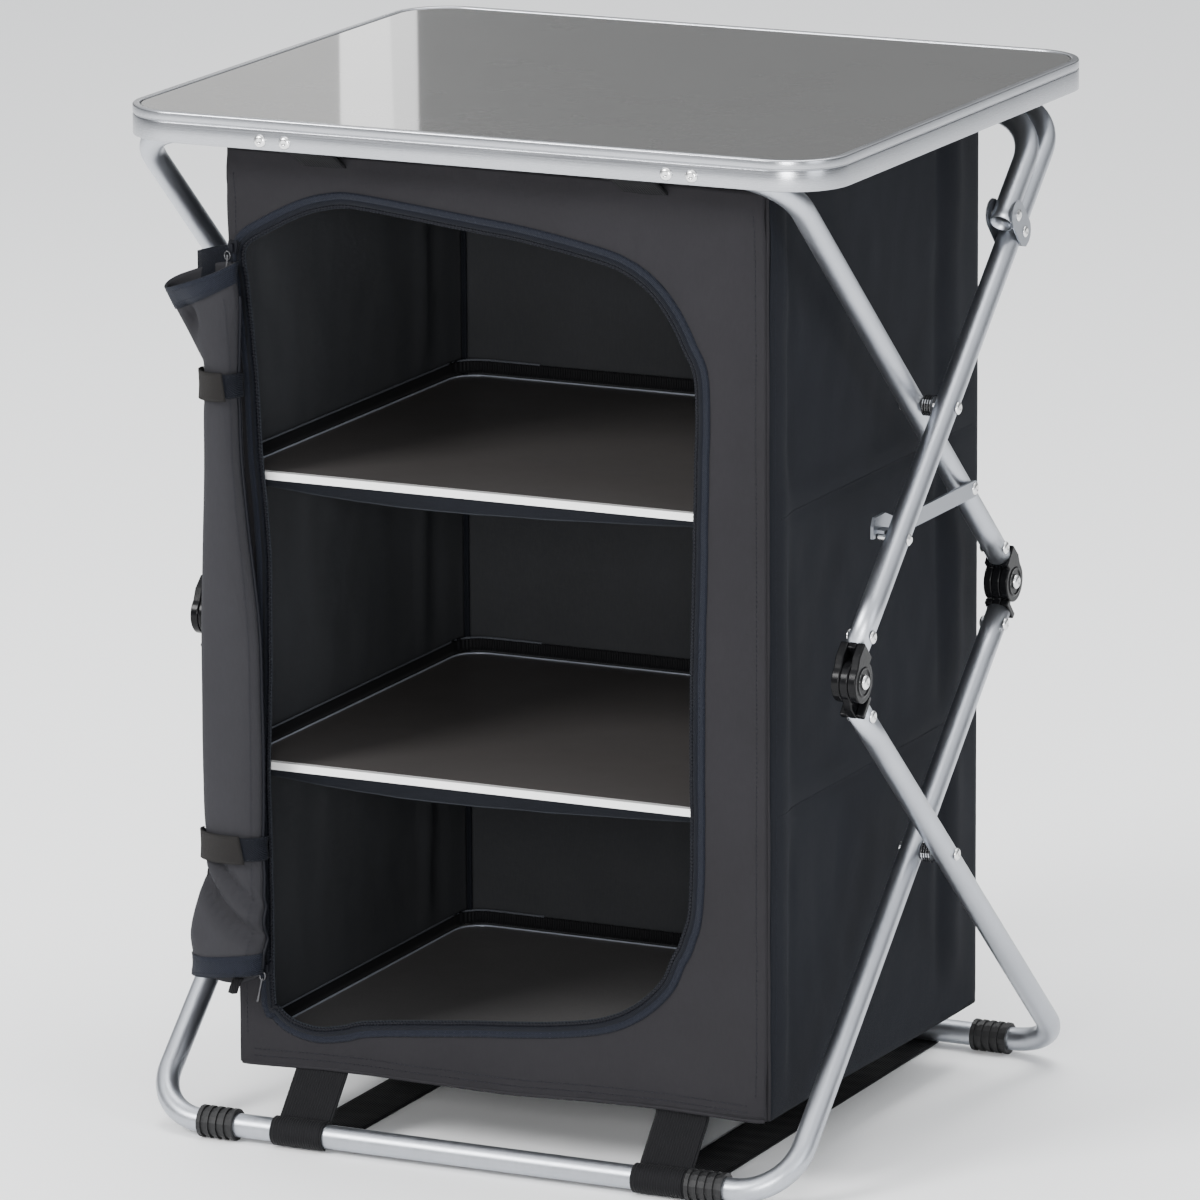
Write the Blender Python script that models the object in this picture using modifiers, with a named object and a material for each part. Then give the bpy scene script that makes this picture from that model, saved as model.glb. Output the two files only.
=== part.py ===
"""Fabric camp kitchen cupboard on a folding double-scissor tube frame.

Metres, +X to the viewer's right, +Y to the rear, +Z up. The origin is on the floor,
under the middle of the table top. Four bent U tubes make the frame:

- the front top frame hangs from the front edge of the table and runs down to the rear knuckles
- the front foot frame runs on from the rear knuckles to the front floor bar
- the rear top frame and the rear foot frame mirror them

Each pair crosses at a riveted pivot, so the whole frame folds flat.
"""
import math

import bmesh
import bpy
from mathutils import Matrix, Vector

# Table top
TABLE_WIDTH = 0.600
TABLE_DEPTH = 0.530
TABLE_HEIGHT = 0.820
TABLE_CORNER_RADIUS = 0.048
RIM_HEIGHT = 0.024
RIM_WALL = 0.0015
RIM_LIP = 0.006
RIM_LEDGE = 0.008
RIM_GROOVE_DEPTH = 0.0005
RIM_GROOVE_WIDTH = 0.0012
RIM_BAND_HEIGHT = 0.0075
BOARD_THICKNESS = 0.004
BOARD_SINK = 0.0008
BOARD_MARGIN = 0.0008

# Tube frame
TUBE_RADIUS = 0.0095
TUBE_WALL = 0.0012
BEND_RADIUS = 0.045
STAY_BEND_RADIUS = 0.050
LEG_INSET = 0.0115
LEG_PITCH = 0.028
FRONT_BAR_INSET = 0.018
REAR_BAR_INSET = 0.034
PIN_INSET = 0.060
KNUCKLE_OFFSET = 0.011
TOP_BAR_DROP = 0.0017
REAR_BAR_CLEARANCE = 0.0015

# Knuckles
KNUCKLE_RADIUS = 0.0165
KNUCKLE_NECK = 0.022
KNUCKLE_SLAB = 0.0066
KNUCKLE_PLUG = 0.024
KNUCKLE_PIN_RADIUS = 0.0030
END_RIVET_SETBACK = 0.012

# Rivets and spacers
RIVET_RADIUS = 0.0025
RIVET_HEAD_RADIUS = 0.0048
RIVET_HEAD_HEIGHT = 0.0018
SPACER_RADIUS = 0.0080
HOLE_PLAY = 0.0003

# Rubber feet
FOOT_LENGTH = 0.031
FOOT_RADIUS = 0.0127
FOOT_RIB_DEPTH = 0.0014
FOOT_RIBS = 5
FOOT_SIDES = 16
FOOT_OUTER_INSET = 0.061
FOOT_INNER_INSET = 0.0655

# Table stay and its brackets
STAY_STACK = 0.021
STAY_FOOT_SHARE = 0.262
BRACKET_THICKNESS = 0.0015
BRACKET_RADIUS = 0.0118
BRACKET_WEB_LENGTH = 0.012

# Latches
LATCH_SHARE = 0.477
LATCH_THICKNESS = 0.0025
LATCH_HEIGHT = 0.013
LATCH_CRANK = 0.026
LATCH_LIP = 0.0033
LATCH_LIP_PLAY = 0.0030
LATCH_LIP_LENGTH = 0.0040
CATCH_PIN_RADIUS = 0.0030

# Clips that hold the table on the bars
CLIP_WIDTH = 0.034
CLIP_GRIP = 0.006
CLIP_WALL = 0.0030
CLIP_LEFT_INSET = 0.140
CLIP_RIGHT_INSET = 0.118
RIM_RIVET_PITCH = 0.021
RIM_RIVET_DEPTH = 0.0045
REAR_CLIP_DEPTH = 0.030
REAR_CLIP_LIP = 0.0045

# Fabric cabinet
CABINET_SIDE_GAP = 0.0325
CABINET_BAR_GAP = 0.037
CABINET_TOP_GAP = 0.011
CABINET_BOTTOM_Z = 0.060
CORNER_GAP = 0.004
CLOTH = 0.0016
BINDING_WIDTH = 0.010
BINDING_THICKNESS = 0.0012

# Door opening in the front panel, measured in from the edges of the panel
OPENING_LEFT_INSET = 0.030
OPENING_RIGHT_INSET = 0.058
OPENING_TOP_INSET = 0.037
OPENING_BOTTOM_INSET = 0.026

# Shelves
SHELF_THICKNESS = 0.004
SHELF_EDGE_HEIGHT = 0.006
SHELF_EDGE_DEPTH = 0.006
SHELF_BACK_GAP = 0.006
UPPER_SHELF_Z = 0.531
MIDDLE_SHELF_Z = 0.299

# Rolled door
ROLL_OUTSET = 0.021
ROLL_RADIUS = 0.0185
ROLL_FLARE_RADIUS = 0.026
ROLL_TOP_DROP = 0.043
ROLL_BOTTOM_RISE = 0.036
ROLL_NECK_SHARE = 0.12
STRAP_WIDTH = 0.020
STRAP_THICKNESS = 0.0014
ROLL_STRAP_DROP = 0.101
ROLL_STRAP_RISE = 0.114

# Zipper sliders
SLIDER_LENGTH = 0.012
SLIDER_WIDTH = 0.007
SLIDER_THICKNESS = 0.0035
SLIDER_PULL_LENGTH = 0.022
SLIDER_PULL_WIDTH = 0.005
SLIDER_DROP = 0.040
SLIDER_RISE = 0.042

# Webbing straps
WEBBING_WIDTH = 0.045
WEBBING_THICKNESS = 0.0015
WEBBING_INSET = 0.072
HEM_TUCK = 0.012
HEM_LIFT_DEG = 50
UNDER_BAR_DEG = 250

# Small allowances
GAP = 0.0003
OVERRUN = 0.004

ROUND_SIDES = 16
TUBE_SIDES = 12
RIVET_SIDES = 10
BEND_STEPS = 6
CORNER_STEPS = 8

# Shares that shape a rivet's head
HEAD_CROWN_SHARE = 0.55
HEAD_EDGE_SHARE = 0.35

# Places that follow from the driving dimensions
LEG_OUTER_X = TABLE_WIDTH / 2 - LEG_INSET
LEG_INNER_X = LEG_OUTER_X - LEG_PITCH
TOP_BAR_Z = TABLE_HEIGHT - RIM_WALL - BOARD_THICKNESS - TOP_BAR_DROP - TUBE_RADIUS - GAP
FLOOR_BAR_Z = FOOT_RADIUS
PIN_Z = (TOP_BAR_Z + FLOOR_BAR_Z) / 2
FRONT_BAR_Y = FRONT_BAR_INSET - TABLE_DEPTH / 2
REAR_BAR_Y = TABLE_DEPTH / 2 - REAR_BAR_INSET
FRAME_CENTRE_Y = (FRONT_BAR_Y + REAR_BAR_Y) / 2
BAR_HALF_SPAN = (REAR_BAR_Y - FRONT_BAR_Y) / 2
PIN_HALF_SPAN = BAR_HALF_SPAN - PIN_INSET
FRONT_PIN_Y = FRAME_CENTRE_Y - PIN_HALF_SPAN
REAR_PIN_Y = FRAME_CENTRE_Y + PIN_HALF_SPAN
LEG_RISE = TOP_BAR_Z - PIN_Z
LEG_RUN = BAR_HALF_SPAN + PIN_HALF_SPAN
SLOPE = math.atan2(LEG_RISE, LEG_RUN) - math.asin(KNUCKLE_OFFSET / math.hypot(LEG_RISE, LEG_RUN))
LEG_REACH = math.sqrt(LEG_RISE ** 2 + LEG_RUN ** 2 - KNUCKLE_OFFSET ** 2)
UPPER_CROSS_Z = TOP_BAR_Z - BAR_HALF_SPAN * math.tan(SLOPE)
LOWER_CROSS_Z = FLOOR_BAR_Z + BAR_HALF_SPAN * math.tan(SLOPE)
RIM_BOTTOM_Z = TABLE_HEIGHT - RIM_HEIGHT
LEDGE_TOP_Z = TABLE_HEIGHT - RIM_WALL - BOARD_THICKNESS - GAP - GAP
REAR_TOP_BAR_Z = RIM_BOTTOM_Z - REAR_BAR_CLEARANCE - TUBE_RADIUS
FOOT_OUTER_X = LEG_OUTER_X - FOOT_OUTER_INSET
FOOT_INNER_X = LEG_INNER_X - FOOT_INNER_INSET
CLIP_LEFT_X = CLIP_LEFT_INSET - TABLE_WIDTH / 2
CLIP_RIGHT_X = TABLE_WIDTH / 2 - CLIP_RIGHT_INSET
CABINET_HALF_WIDTH = LEG_INNER_X - CABINET_SIDE_GAP
CABINET_FRONT_Y = FRONT_BAR_Y + CABINET_BAR_GAP
CABINET_BACK_Y = REAR_BAR_Y - CABINET_BAR_GAP
CABINET_TOP_Z = RIM_BOTTOM_Z - CABINET_TOP_GAP
OPENING_LEFT_X = OPENING_LEFT_INSET - CABINET_HALF_WIDTH
OPENING_RIGHT_X = CABINET_HALF_WIDTH - OPENING_RIGHT_INSET
OPENING_TOP_Z = CABINET_TOP_Z - OPENING_TOP_INSET
OPENING_BOTTOM_Z = CABINET_BOTTOM_Z + OPENING_BOTTOM_INSET
LOWER_SHELF_Z = CABINET_BOTTOM_Z + CLOTH + GAP + SHELF_EDGE_HEIGHT
ROLL_X = OPENING_LEFT_X - ROLL_OUTSET
ROLL_TOP_Z = OPENING_TOP_Z - ROLL_TOP_DROP
ROLL_BOTTOM_Z = OPENING_BOTTOM_Z + ROLL_BOTTOM_RISE
ROLL_STRAP_UPPER_Z = ROLL_TOP_Z - ROLL_STRAP_DROP
ROLL_STRAP_LOWER_Z = ROLL_BOTTOM_Z + ROLL_STRAP_RISE
SLIDER_UPPER_Z = OPENING_TOP_Z - SLIDER_DROP
SLIDER_LOWER_Z = OPENING_BOTTOM_Z + SLIDER_RISE
WEBBING_X = CABINET_HALF_WIDTH - WEBBING_INSET


def clear_scene():
    for item in list(bpy.data.objects):
        bpy.data.objects.remove(item, do_unlink=True)


def new_collection(name):
    group = bpy.data.collections.new(name)
    bpy.context.scene.collection.children.link(group)
    return group


clear_scene()
PARTS = new_collection("camp_kitchen_cupboard")
CUTTERS = new_collection("cutters")


def material(name, colour, roughness, metallic=0.0):
    made = bpy.data.materials.new(name)
    made.use_nodes = True
    shader = made.node_tree.nodes["Principled BSDF"]
    shader.inputs["Base Color"].default_value = (*colour, 1.0)
    shader.inputs["Roughness"].default_value = roughness
    shader.inputs["Metallic"].default_value = metallic
    made.diffuse_color = (*colour, 1.0)
    return made


TUBE_SILVER = material("tube_silver", (0.58, 0.59, 0.61), 0.35, 0.9)
RIM_ALUMINIUM = material("rim_aluminium", (0.66, 0.67, 0.69), 0.40, 0.9)
BOARD_GREY = material("board_grey", (0.20, 0.19, 0.18), 0.18)
KNUCKLE_BLACK = material("knuckle_black", (0.015, 0.015, 0.016), 0.22)
RUBBER_BLACK = material("rubber_black", (0.02, 0.02, 0.02), 0.75)
RIVET_STEEL = material("rivet_steel", (0.72, 0.72, 0.72), 0.28, 1.0)
CLOTH_CHARCOAL = material("cloth_charcoal", (0.040, 0.040, 0.045), 0.85)
CLOTH_DARK = material("cloth_dark", (0.018, 0.020, 0.026), 0.85)
BINDING_NAVY = material("binding_navy", (0.022, 0.026, 0.040), 0.70)
WEBBING_BLACK = material("webbing_black", (0.015, 0.015, 0.017), 0.80)
SHELF_GREY = material("shelf_grey", (0.10, 0.095, 0.09), 0.35)


def unlink_from_all(item):
    for group in list(item.users_collection):
        group.objects.unlink(item)


def show(name, mesh, finish, smooth=False):
    """A named sub-part made from a mesh."""
    item = bpy.data.objects.new(name, mesh)
    mesh.name = name
    mesh.materials.clear()
    mesh.materials.append(finish)
    if smooth:
        mesh.shade_smooth()
        mesh.set_sharp_from_angle(angle=math.radians(40))
    PARTS.objects.link(item)
    return item


def cutter(name, mesh):
    item = bpy.data.objects.new(name, mesh)
    item.hide_render = True
    item.display_type = "WIRE"
    CUTTERS.objects.link(item)
    return item


def boolean(target, tool, operation="DIFFERENCE"):
    change = target.modifiers.new(operation.lower(), "BOOLEAN")
    change.operation = operation
    change.solver = "EXACT"
    change.object = tool
    return change


def mesh_from(item, closed=True):
    """The evaluated mesh of an object, welded, in its own space; the object goes."""
    bpy.context.view_layer.update()
    graph = bpy.context.evaluated_depsgraph_get()
    mesh = bpy.data.meshes.new_from_object(item.evaluated_get(graph))
    bpy.data.objects.remove(item, do_unlink=True)
    work = bmesh.new()
    work.from_mesh(mesh)
    bmesh.ops.remove_doubles(work, verts=work.verts, dist=0.00001)
    if closed:
        bmesh.ops.recalc_face_normals(work, faces=work.faces)
    work.to_mesh(mesh)
    work.free()
    return mesh


def poly_curve(name, dimensions, rings, cyclic):
    data = bpy.data.curves.new(name, "CURVE")
    data.dimensions = dimensions
    for points in rings:
        spline = data.splines.new("POLY")
        spline.points.add(len(points) - 1)
        for point, spot_on_it in zip(spline.points, points):
            point.co = (*spot_on_it, 1.0)
        spline.use_cyclic_u = cyclic
    return data


def flat_mesh(rings, thickness):
    """A flat plate in the local XY plane; rings after the first are holes."""
    data = poly_curve("outline", "2D", [[(x, y, 0) for x, y in ring] for ring in rings], True)
    data.fill_mode = "BOTH"
    data.extrude = thickness / 2
    item = bpy.data.objects.new("outline", data)
    CUTTERS.objects.link(item)
    return mesh_from(item)


def tube_mesh(path, radius):
    """The outer skin of a tube with open ends along a path of straight runs and bends."""
    data = poly_curve("run", "3D", [path], False)
    data.bevel_depth = radius
    data.bevel_resolution = TUBE_SIDES // 2 - 2
    data.use_fill_caps = False
    item = bpy.data.objects.new("run", data)
    CUTTERS.objects.link(item)
    return mesh_from(item, closed=False)


def box_mesh(size, centre=(0, 0, 0)):
    work = bmesh.new()
    placed = Matrix.Translation(Vector(centre)) @ Matrix.Diagonal((*size, 1.0))
    bmesh.ops.create_cube(work, size=1.0, matrix=placed)
    mesh = bpy.data.meshes.new("box")
    work.to_mesh(mesh)
    work.free()
    return mesh


def rods_mesh(rods, sides=RIVET_SIDES):
    """Solid rods along X, each given as first x, last x, y, z and radius."""
    work = bmesh.new()
    for x_start, x_end, y, z, radius in rods:
        centre = Matrix.Translation(((x_start + x_end) / 2, y, z))
        turned = centre @ Matrix.Rotation(math.pi / 2, 4, "Y")
        bmesh.ops.create_cone(work, cap_ends=True, segments=sides, radius1=radius, radius2=radius,
                              depth=abs(x_end - x_start), matrix=turned)
    mesh = bpy.data.meshes.new("rods")
    work.to_mesh(mesh)
    work.free()
    return mesh


def turned_mesh(profile, sides):
    """A solid turned about local Z from (radius, z) points, listed from top to bottom."""
    data = bpy.data.meshes.new("profile")
    points = [(radius, 0, z) for radius, z in profile]
    data.from_pydata(points, [(i, i + 1) for i in range(len(points) - 1)], [])
    item = bpy.data.objects.new("profile", data)
    CUTTERS.objects.link(item)
    screw = item.modifiers.new("turn", "SCREW")
    screw.steps = sides
    screw.render_steps = sides
    screw.use_merge_vertices = True
    screw.merge_threshold = 0.0001
    return mesh_from(item)


def arc(centre, radius, start, end, steps):
    return [(centre[0] + radius * math.cos(start + (end - start) * i / steps),
             centre[1] + radius * math.sin(start + (end - start) * i / steps))
            for i in range(steps + 1)]


def rounded_rectangle(half_width, half_depth, radius):
    corners = ((1, 1, 0), (-1, 1, 1), (-1, -1, 2), (1, -1, 3))
    points = []
    for side_x, side_y, quarter in corners:
        centre = (side_x * (half_width - radius), side_y * (half_depth - radius))
        start = quarter * math.pi / 2
        points += arc(centre, radius, start, start + math.pi / 2, CORNER_STEPS)
    return points


def along_x(x):
    """Turns a piece made about local Z so that it lies along world X."""
    return Matrix.Translation(x) @ Matrix.Rotation(math.pi / 2, 4, "Y")


def rivet_mesh(length, radius=RIVET_RADIUS, head=RIVET_HEAD_RADIUS, height=RIVET_HEAD_HEIGHT):
    """A rivet about local Z with a domed head past each end of its shank."""
    half = length / 2
    crown = head * HEAD_CROWN_SHARE
    edge = half + height * HEAD_EDGE_SHARE
    profile = [(0, half + height), (crown, half + height), (head, edge), (head, half), (radius, half),
               (radius, -half), (head, -half), (head, -edge), (crown, -half - height), (0, -half - height)]
    return turned_mesh(profile, RIVET_SIDES)


# Turns a flat outline drawn in XY so that it stands in the YZ plane or in the XZ plane
SIDEWAYS = Matrix(((0, 0, 1, 0), (1, 0, 0, 0), (0, 1, 0, 0), (0, 0, 0, 1)))
UPRIGHT_FRONT = Matrix(((1, 0, 0, 0), (0, 0, -1, 0), (0, 1, 0, 0), (0, 0, 0, 1)))


class Frame:
    """One U tube of the frame: where its bar lies and which way its legs run."""

    def __init__(self, left_x, right_x, bar_y, bar_z, toward_rear, downward, trim=0.0):
        self.left_x = left_x
        self.right_x = right_x
        self.run = Vector((0, (1 if toward_rear else -1) * math.cos(SLOPE),
                           (-1 if downward else 1) * math.sin(SLOPE)))
        self.bar = Vector((0, bar_y, bar_z)) + self.run * trim
        self.length = LEG_REACH - trim - KNUCKLE_NECK
        self.angle = math.atan2(self.run.z, self.run.y)
        self.holes = []

    def at(self, x, distance):
        """A point on a leg's centre line, a distance down the leg from the bar."""
        return Vector((x, 0, 0)) + self.bar + self.run * distance

    def at_height(self, z):
        return (z - self.bar.z) / self.run.z


REAR_TRIM = (TOP_BAR_Z - REAR_TOP_BAR_Z) / math.sin(SLOPE)
FRONT_TOP = Frame(-LEG_OUTER_X, LEG_INNER_X, FRONT_BAR_Y, TOP_BAR_Z, True, True)
FRONT_FOOT = Frame(-LEG_OUTER_X, LEG_INNER_X, FRONT_BAR_Y, FLOOR_BAR_Z, True, False)
REAR_TOP = Frame(-LEG_INNER_X, LEG_OUTER_X, REAR_BAR_Y, TOP_BAR_Z, False, True, REAR_TRIM)
REAR_FOOT = Frame(-LEG_INNER_X, LEG_OUTER_X, REAR_BAR_Y, FLOOR_BAR_Z, False, False)


def u_path(frame, length, bend):
    """The centre line of a U tube in its own plane: legs along local +Y, bar along local X."""
    left = frame.left_x
    right = frame.right_x
    turn_left = arc((left + bend, bend), bend, math.pi, 3 * math.pi / 2, BEND_STEPS)
    turn_right = arc((right - bend, bend), bend, 3 * math.pi / 2, 2 * math.pi, BEND_STEPS)
    flat = [(left, length)] + turn_left + turn_right + [(right, length)]
    return [(x, y, 0) for x, y in flat]


def leg_holes(frame, spots):
    """Cutting rods across both legs at the given points of the YZ plane."""
    rods = []
    for y, z, radius in spots:
        for x in (frame.left_x, frame.right_x):
            reach = TUBE_RADIUS + OVERRUN
            rods.append((x - reach, x + reach, y, z, radius + HOLE_PLAY))
    return rods


def bent_frame(name, frame, spots, length=None, bend=BEND_RADIUS, bar=None):
    """A U tube with its rivet holes drilled."""
    item = show(name, tube_mesh(u_path(frame, length or frame.length, bend), TUBE_RADIUS), TUBE_SILVER,
                smooth=True)
    item.location = bar or frame.bar
    item.rotation_euler = (frame.angle, 0, 0)
    wall = item.modifiers.new("wall", "SOLIDIFY")
    wall.thickness = TUBE_WALL
    wall.offset = -1
    wall.use_even_offset = True
    boolean(item, cutter(name + "_holes", rods_mesh(leg_holes(frame, spots))))
    return item


def cross_spot(z, radius=RIVET_RADIUS):
    return (FRAME_CENTRE_Y, z, radius)


def end_rivet_spot(frame):
    point = frame.at(0, frame.length - END_RIVET_SETBACK)
    return (point.y, point.z, RIVET_RADIUS)


# Where the small fittings sit on the legs
LATCH_Z = UPPER_CROSS_Z + (PIN_Z - UPPER_CROSS_Z) * LATCH_SHARE
LATCH_PIVOT = FRONT_TOP.at(0, FRONT_TOP.at_height(LATCH_Z))
CATCH = REAR_TOP.at(0, REAR_TOP.at_height(LATCH_Z))
STAY_SHIFT = Vector((0, REAR_TOP.run.z, -REAR_TOP.run.y)) * STAY_STACK
STAY_FOOT_ON_LEG = REAR_TOP.at(0, STAY_FOOT_SHARE * LEG_REACH - REAR_TRIM)
STAY_FOOT = STAY_FOOT_ON_LEG + STAY_SHIFT
STAY_BAR_TRAVEL = (REAR_TOP_BAR_Z - (REAR_TOP.bar + STAY_SHIFT).z) / REAR_TOP.run.z
STAY_BAR = REAR_TOP.bar + STAY_SHIFT + REAR_TOP.run * STAY_BAR_TRAVEL
STAY_LENGTH = (STAY_FOOT - STAY_BAR).length


def spot(point, radius=RIVET_RADIUS):
    return (point.y, point.z, radius)


def build_tubes():
    upper = cross_spot(UPPER_CROSS_Z)
    lower = cross_spot(LOWER_CROSS_Z)
    bent_frame("front_top_frame", FRONT_TOP, [upper, end_rivet_spot(FRONT_TOP), spot(LATCH_PIVOT)])
    bent_frame("front_foot_frame", FRONT_FOOT, [lower, end_rivet_spot(FRONT_FOOT)])
    bent_frame("rear_top_frame", REAR_TOP, [upper, end_rivet_spot(REAR_TOP), spot(STAY_FOOT_ON_LEG),
                                            spot(CATCH, CATCH_PIN_RADIUS)])
    bent_frame("rear_foot_frame", REAR_FOOT, [lower, end_rivet_spot(REAR_FOOT)])
    bent_frame("table_stay", REAR_TOP, [spot(STAY_FOOT)], STAY_LENGTH + TUBE_RADIUS, STAY_BEND_RADIUS,
               STAY_BAR)


def knuckle_half_mesh(forked):
    """Half of a plastic elbow about local Z, its pin at the origin and its tube along +X."""
    slab = KNUCKLE_SLAB
    low = KNUCKLE_OFFSET - TUBE_RADIUS + GAP
    high = KNUCKLE_OFFSET + TUBE_RADIUS
    tip = math.asin(low / KNUCKLE_RADIUS)
    rim = arc((0, 0), KNUCKLE_RADIUS, math.pi / 2, 2 * math.pi + tip, ROUND_SIDES)
    outline = rim + [(KNUCKLE_NECK, low), (KNUCKLE_NECK, high), (KNUCKLE_RADIUS / 2, high)]
    plates = (-1, 1) if forked else (0,)
    spread = slab + GAP
    body = None
    for side in plates:
        plate_mesh = flat_mesh([outline], slab)
        plate_mesh.transform(Matrix.Translation((0, 0, side * spread)))
        plate = cutter("plate", plate_mesh)
        if body is None:
            body = plate
        else:
            boolean(body, plate, "UNION")
    clear = KNUCKLE_RADIUS + GAP
    neck_length = KNUCKLE_NECK - clear
    full = 2 * spread + slab
    neck = cutter("neck", box_mesh((neck_length, high - low, full),
                                   (clear + neck_length / 2, (low + high) / 2, 0)))
    boolean(body, neck, "UNION")
    plug_radius = TUBE_RADIUS * math.cos(math.pi / TUBE_SIDES) - TUBE_WALL - GAP
    plug_length = KNUCKLE_PLUG + OVERRUN
    plug = cutter("plug", rods_mesh([(KNUCKLE_NECK - OVERRUN, KNUCKLE_NECK - OVERRUN + plug_length,
                                      KNUCKLE_OFFSET, 0, plug_radius)], TUBE_SIDES))
    boolean(body, plug, "UNION")
    rivet = cutter("end_rivet", rivet_mesh(2 * (TUBE_RADIUS + GAP)))
    rivet.location = (KNUCKLE_NECK + END_RIVET_SETBACK, KNUCKLE_OFFSET, 0)
    boolean(body, rivet, "UNION")
    bore = bmesh.new()
    bmesh.ops.create_cone(bore, cap_ends=True, segments=RIVET_SIDES,
                          radius1=KNUCKLE_PIN_RADIUS + HOLE_PLAY, radius2=KNUCKLE_PIN_RADIUS + HOLE_PLAY,
                          depth=full + 2 * OVERRUN)
    bores = bpy.data.meshes.new("pin_bore")
    bore.to_mesh(bores)
    bore.free()
    boolean(body, cutter("pin_bore", bores))
    return mesh_from(body)


def knuckle_matrix(frame, pin, x):
    """Places a knuckle half: local X runs up the leg from the knuckle, local Y toward the tube."""
    up_leg = -frame.run
    foot = frame.at(0, frame.length + KNUCKLE_NECK)
    toward_tube = (foot - Vector((0, pin[0], pin[1]))).normalized()
    across = up_leg.cross(toward_tube)
    placed = Matrix((up_leg, toward_tube, across)).transposed().to_4x4()
    placed.translation = (x, pin[0], pin[1])
    return placed


def build_knuckles():
    forked = knuckle_half_mesh(True)
    tongue = knuckle_half_mesh(False)
    rear_pin = (REAR_PIN_Y, PIN_Z)
    front_pin = (FRONT_PIN_Y, PIN_Z)
    halves = (("rear_knuckle_upper", FRONT_TOP, rear_pin, forked),
              ("rear_knuckle_lower", FRONT_FOOT, rear_pin, tongue),
              ("front_knuckle_upper", REAR_TOP, front_pin, forked),
              ("front_knuckle_lower", REAR_FOOT, front_pin, tongue))
    for name, frame, pin, mesh in halves:
        for side, x in (("left", frame.left_x), ("right", frame.right_x)):
            item = show(f"{name}_{side}", mesh.copy(), KNUCKLE_BLACK, smooth=True)
            item.matrix_world = knuckle_matrix(frame, pin, x)


def place(name, mesh, matrix, finish, smooth=True):
    item = show(name, mesh, finish, smooth)
    item.matrix_world = matrix
    return item


def fused(name, pieces, finish, holes=None):
    """One solid from (mesh, matrix) pieces that run into each other."""
    base_mesh, base_matrix = pieces[0]
    item = place(name, base_mesh.copy(), base_matrix, finish, smooth=False)
    for index, (mesh, matrix) in enumerate(pieces[1:]):
        tool = cutter(f"{name}_piece_{index}", mesh.copy())
        tool.matrix_world = matrix
        boolean(item, tool, "UNION")
    if holes is not None:
        boolean(item, cutter(f"{name}_holes", holes))
    return item


def sides_of(frame):
    return (("left", frame.left_x), ("right", frame.right_x))


def build_knuckle_pins():
    length = 3 * KNUCKLE_SLAB + 4 * GAP
    mesh = rivet_mesh(length, KNUCKLE_PIN_RADIUS, KNUCKLE_PIN_RADIUS + RIVET_RADIUS)
    for name, frame, y in (("rear_knuckle_pin", FRONT_TOP, REAR_PIN_Y),
                           ("front_knuckle_pin", REAR_TOP, FRONT_PIN_Y)):
        for side, x in sides_of(frame):
            place(f"{name}_{side}", mesh.copy(), along_x((x, y, PIN_Z)), RIVET_STEEL)


def build_cross_pivots():
    """Rivets, each with its plastic spacer, where the two frames of each scissor cross."""
    grip = LEG_PITCH + 2 * (TUBE_RADIUS + GAP)
    collar = LEG_PITCH / 2 - TUBE_RADIUS - GAP
    half = grip / 2
    top = half + RIVET_HEAD_HEIGHT
    upper = [(0, top), (RIVET_HEAD_RADIUS / 2, top), (RIVET_HEAD_RADIUS, half), (RIVET_RADIUS, half),
             (RIVET_RADIUS, collar), (SPACER_RADIUS, collar)]
    lower = [(radius, -z) for radius, z in upper[::-1]]
    mesh = turned_mesh(upper + lower, ROUND_SIDES)
    middle = (LEG_OUTER_X + LEG_INNER_X) / 2
    for name, z in (("upper_cross_pivot", UPPER_CROSS_Z), ("lower_cross_pivot", LOWER_CROSS_Z)):
        for side, sign in (("left", -1), ("right", 1)):
            place(f"{name}_{side}", mesh.copy(), along_x((sign * middle, FRAME_CENTRE_Y, z)), RIVET_STEEL)


def foot_mesh():
    """A ribbed rubber sleeve about local Z that grips the floor bar."""
    half = FOOT_LENGTH / 2
    bore = TUBE_RADIUS + GAP
    flat_radius = FOOT_RADIUS / math.cos(math.pi / FOOT_SIDES)
    groove = flat_radius - FOOT_RIB_DEPTH
    pitch = FOOT_LENGTH / (2 * FOOT_RIBS - 1)
    profile = [(bore, half)]
    for index in range(FOOT_RIBS):
        top = half - index * 2 * pitch
        bottom = top - pitch
        profile += [(flat_radius, top), (flat_radius, bottom)]
        if index < FOOT_RIBS - 1:
            profile += [(groove, bottom), (groove, bottom - pitch)]
    profile += [(bore, -half), (bore, half)]
    return turned_mesh(profile, FOOT_SIDES)


def build_feet():
    mesh = foot_mesh()
    level_facet = Matrix.Rotation(math.pi / FOOT_SIDES, 4, "X")
    for name, x, y in (("front_foot_grip_left", -FOOT_OUTER_X, FRONT_BAR_Y),
                       ("front_foot_grip_right", FOOT_INNER_X, FRONT_BAR_Y),
                       ("rear_foot_grip_left", -FOOT_INNER_X, REAR_BAR_Y),
                       ("rear_foot_grip_right", FOOT_OUTER_X, REAR_BAR_Y)):
        item = show(name, mesh.copy(), RUBBER_BLACK)
        item.matrix_world = Matrix.Translation((x, y, FLOOR_BAR_Z)) @ level_facet @ Matrix.Rotation(
            math.pi / 2, 4, "Y")


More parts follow.
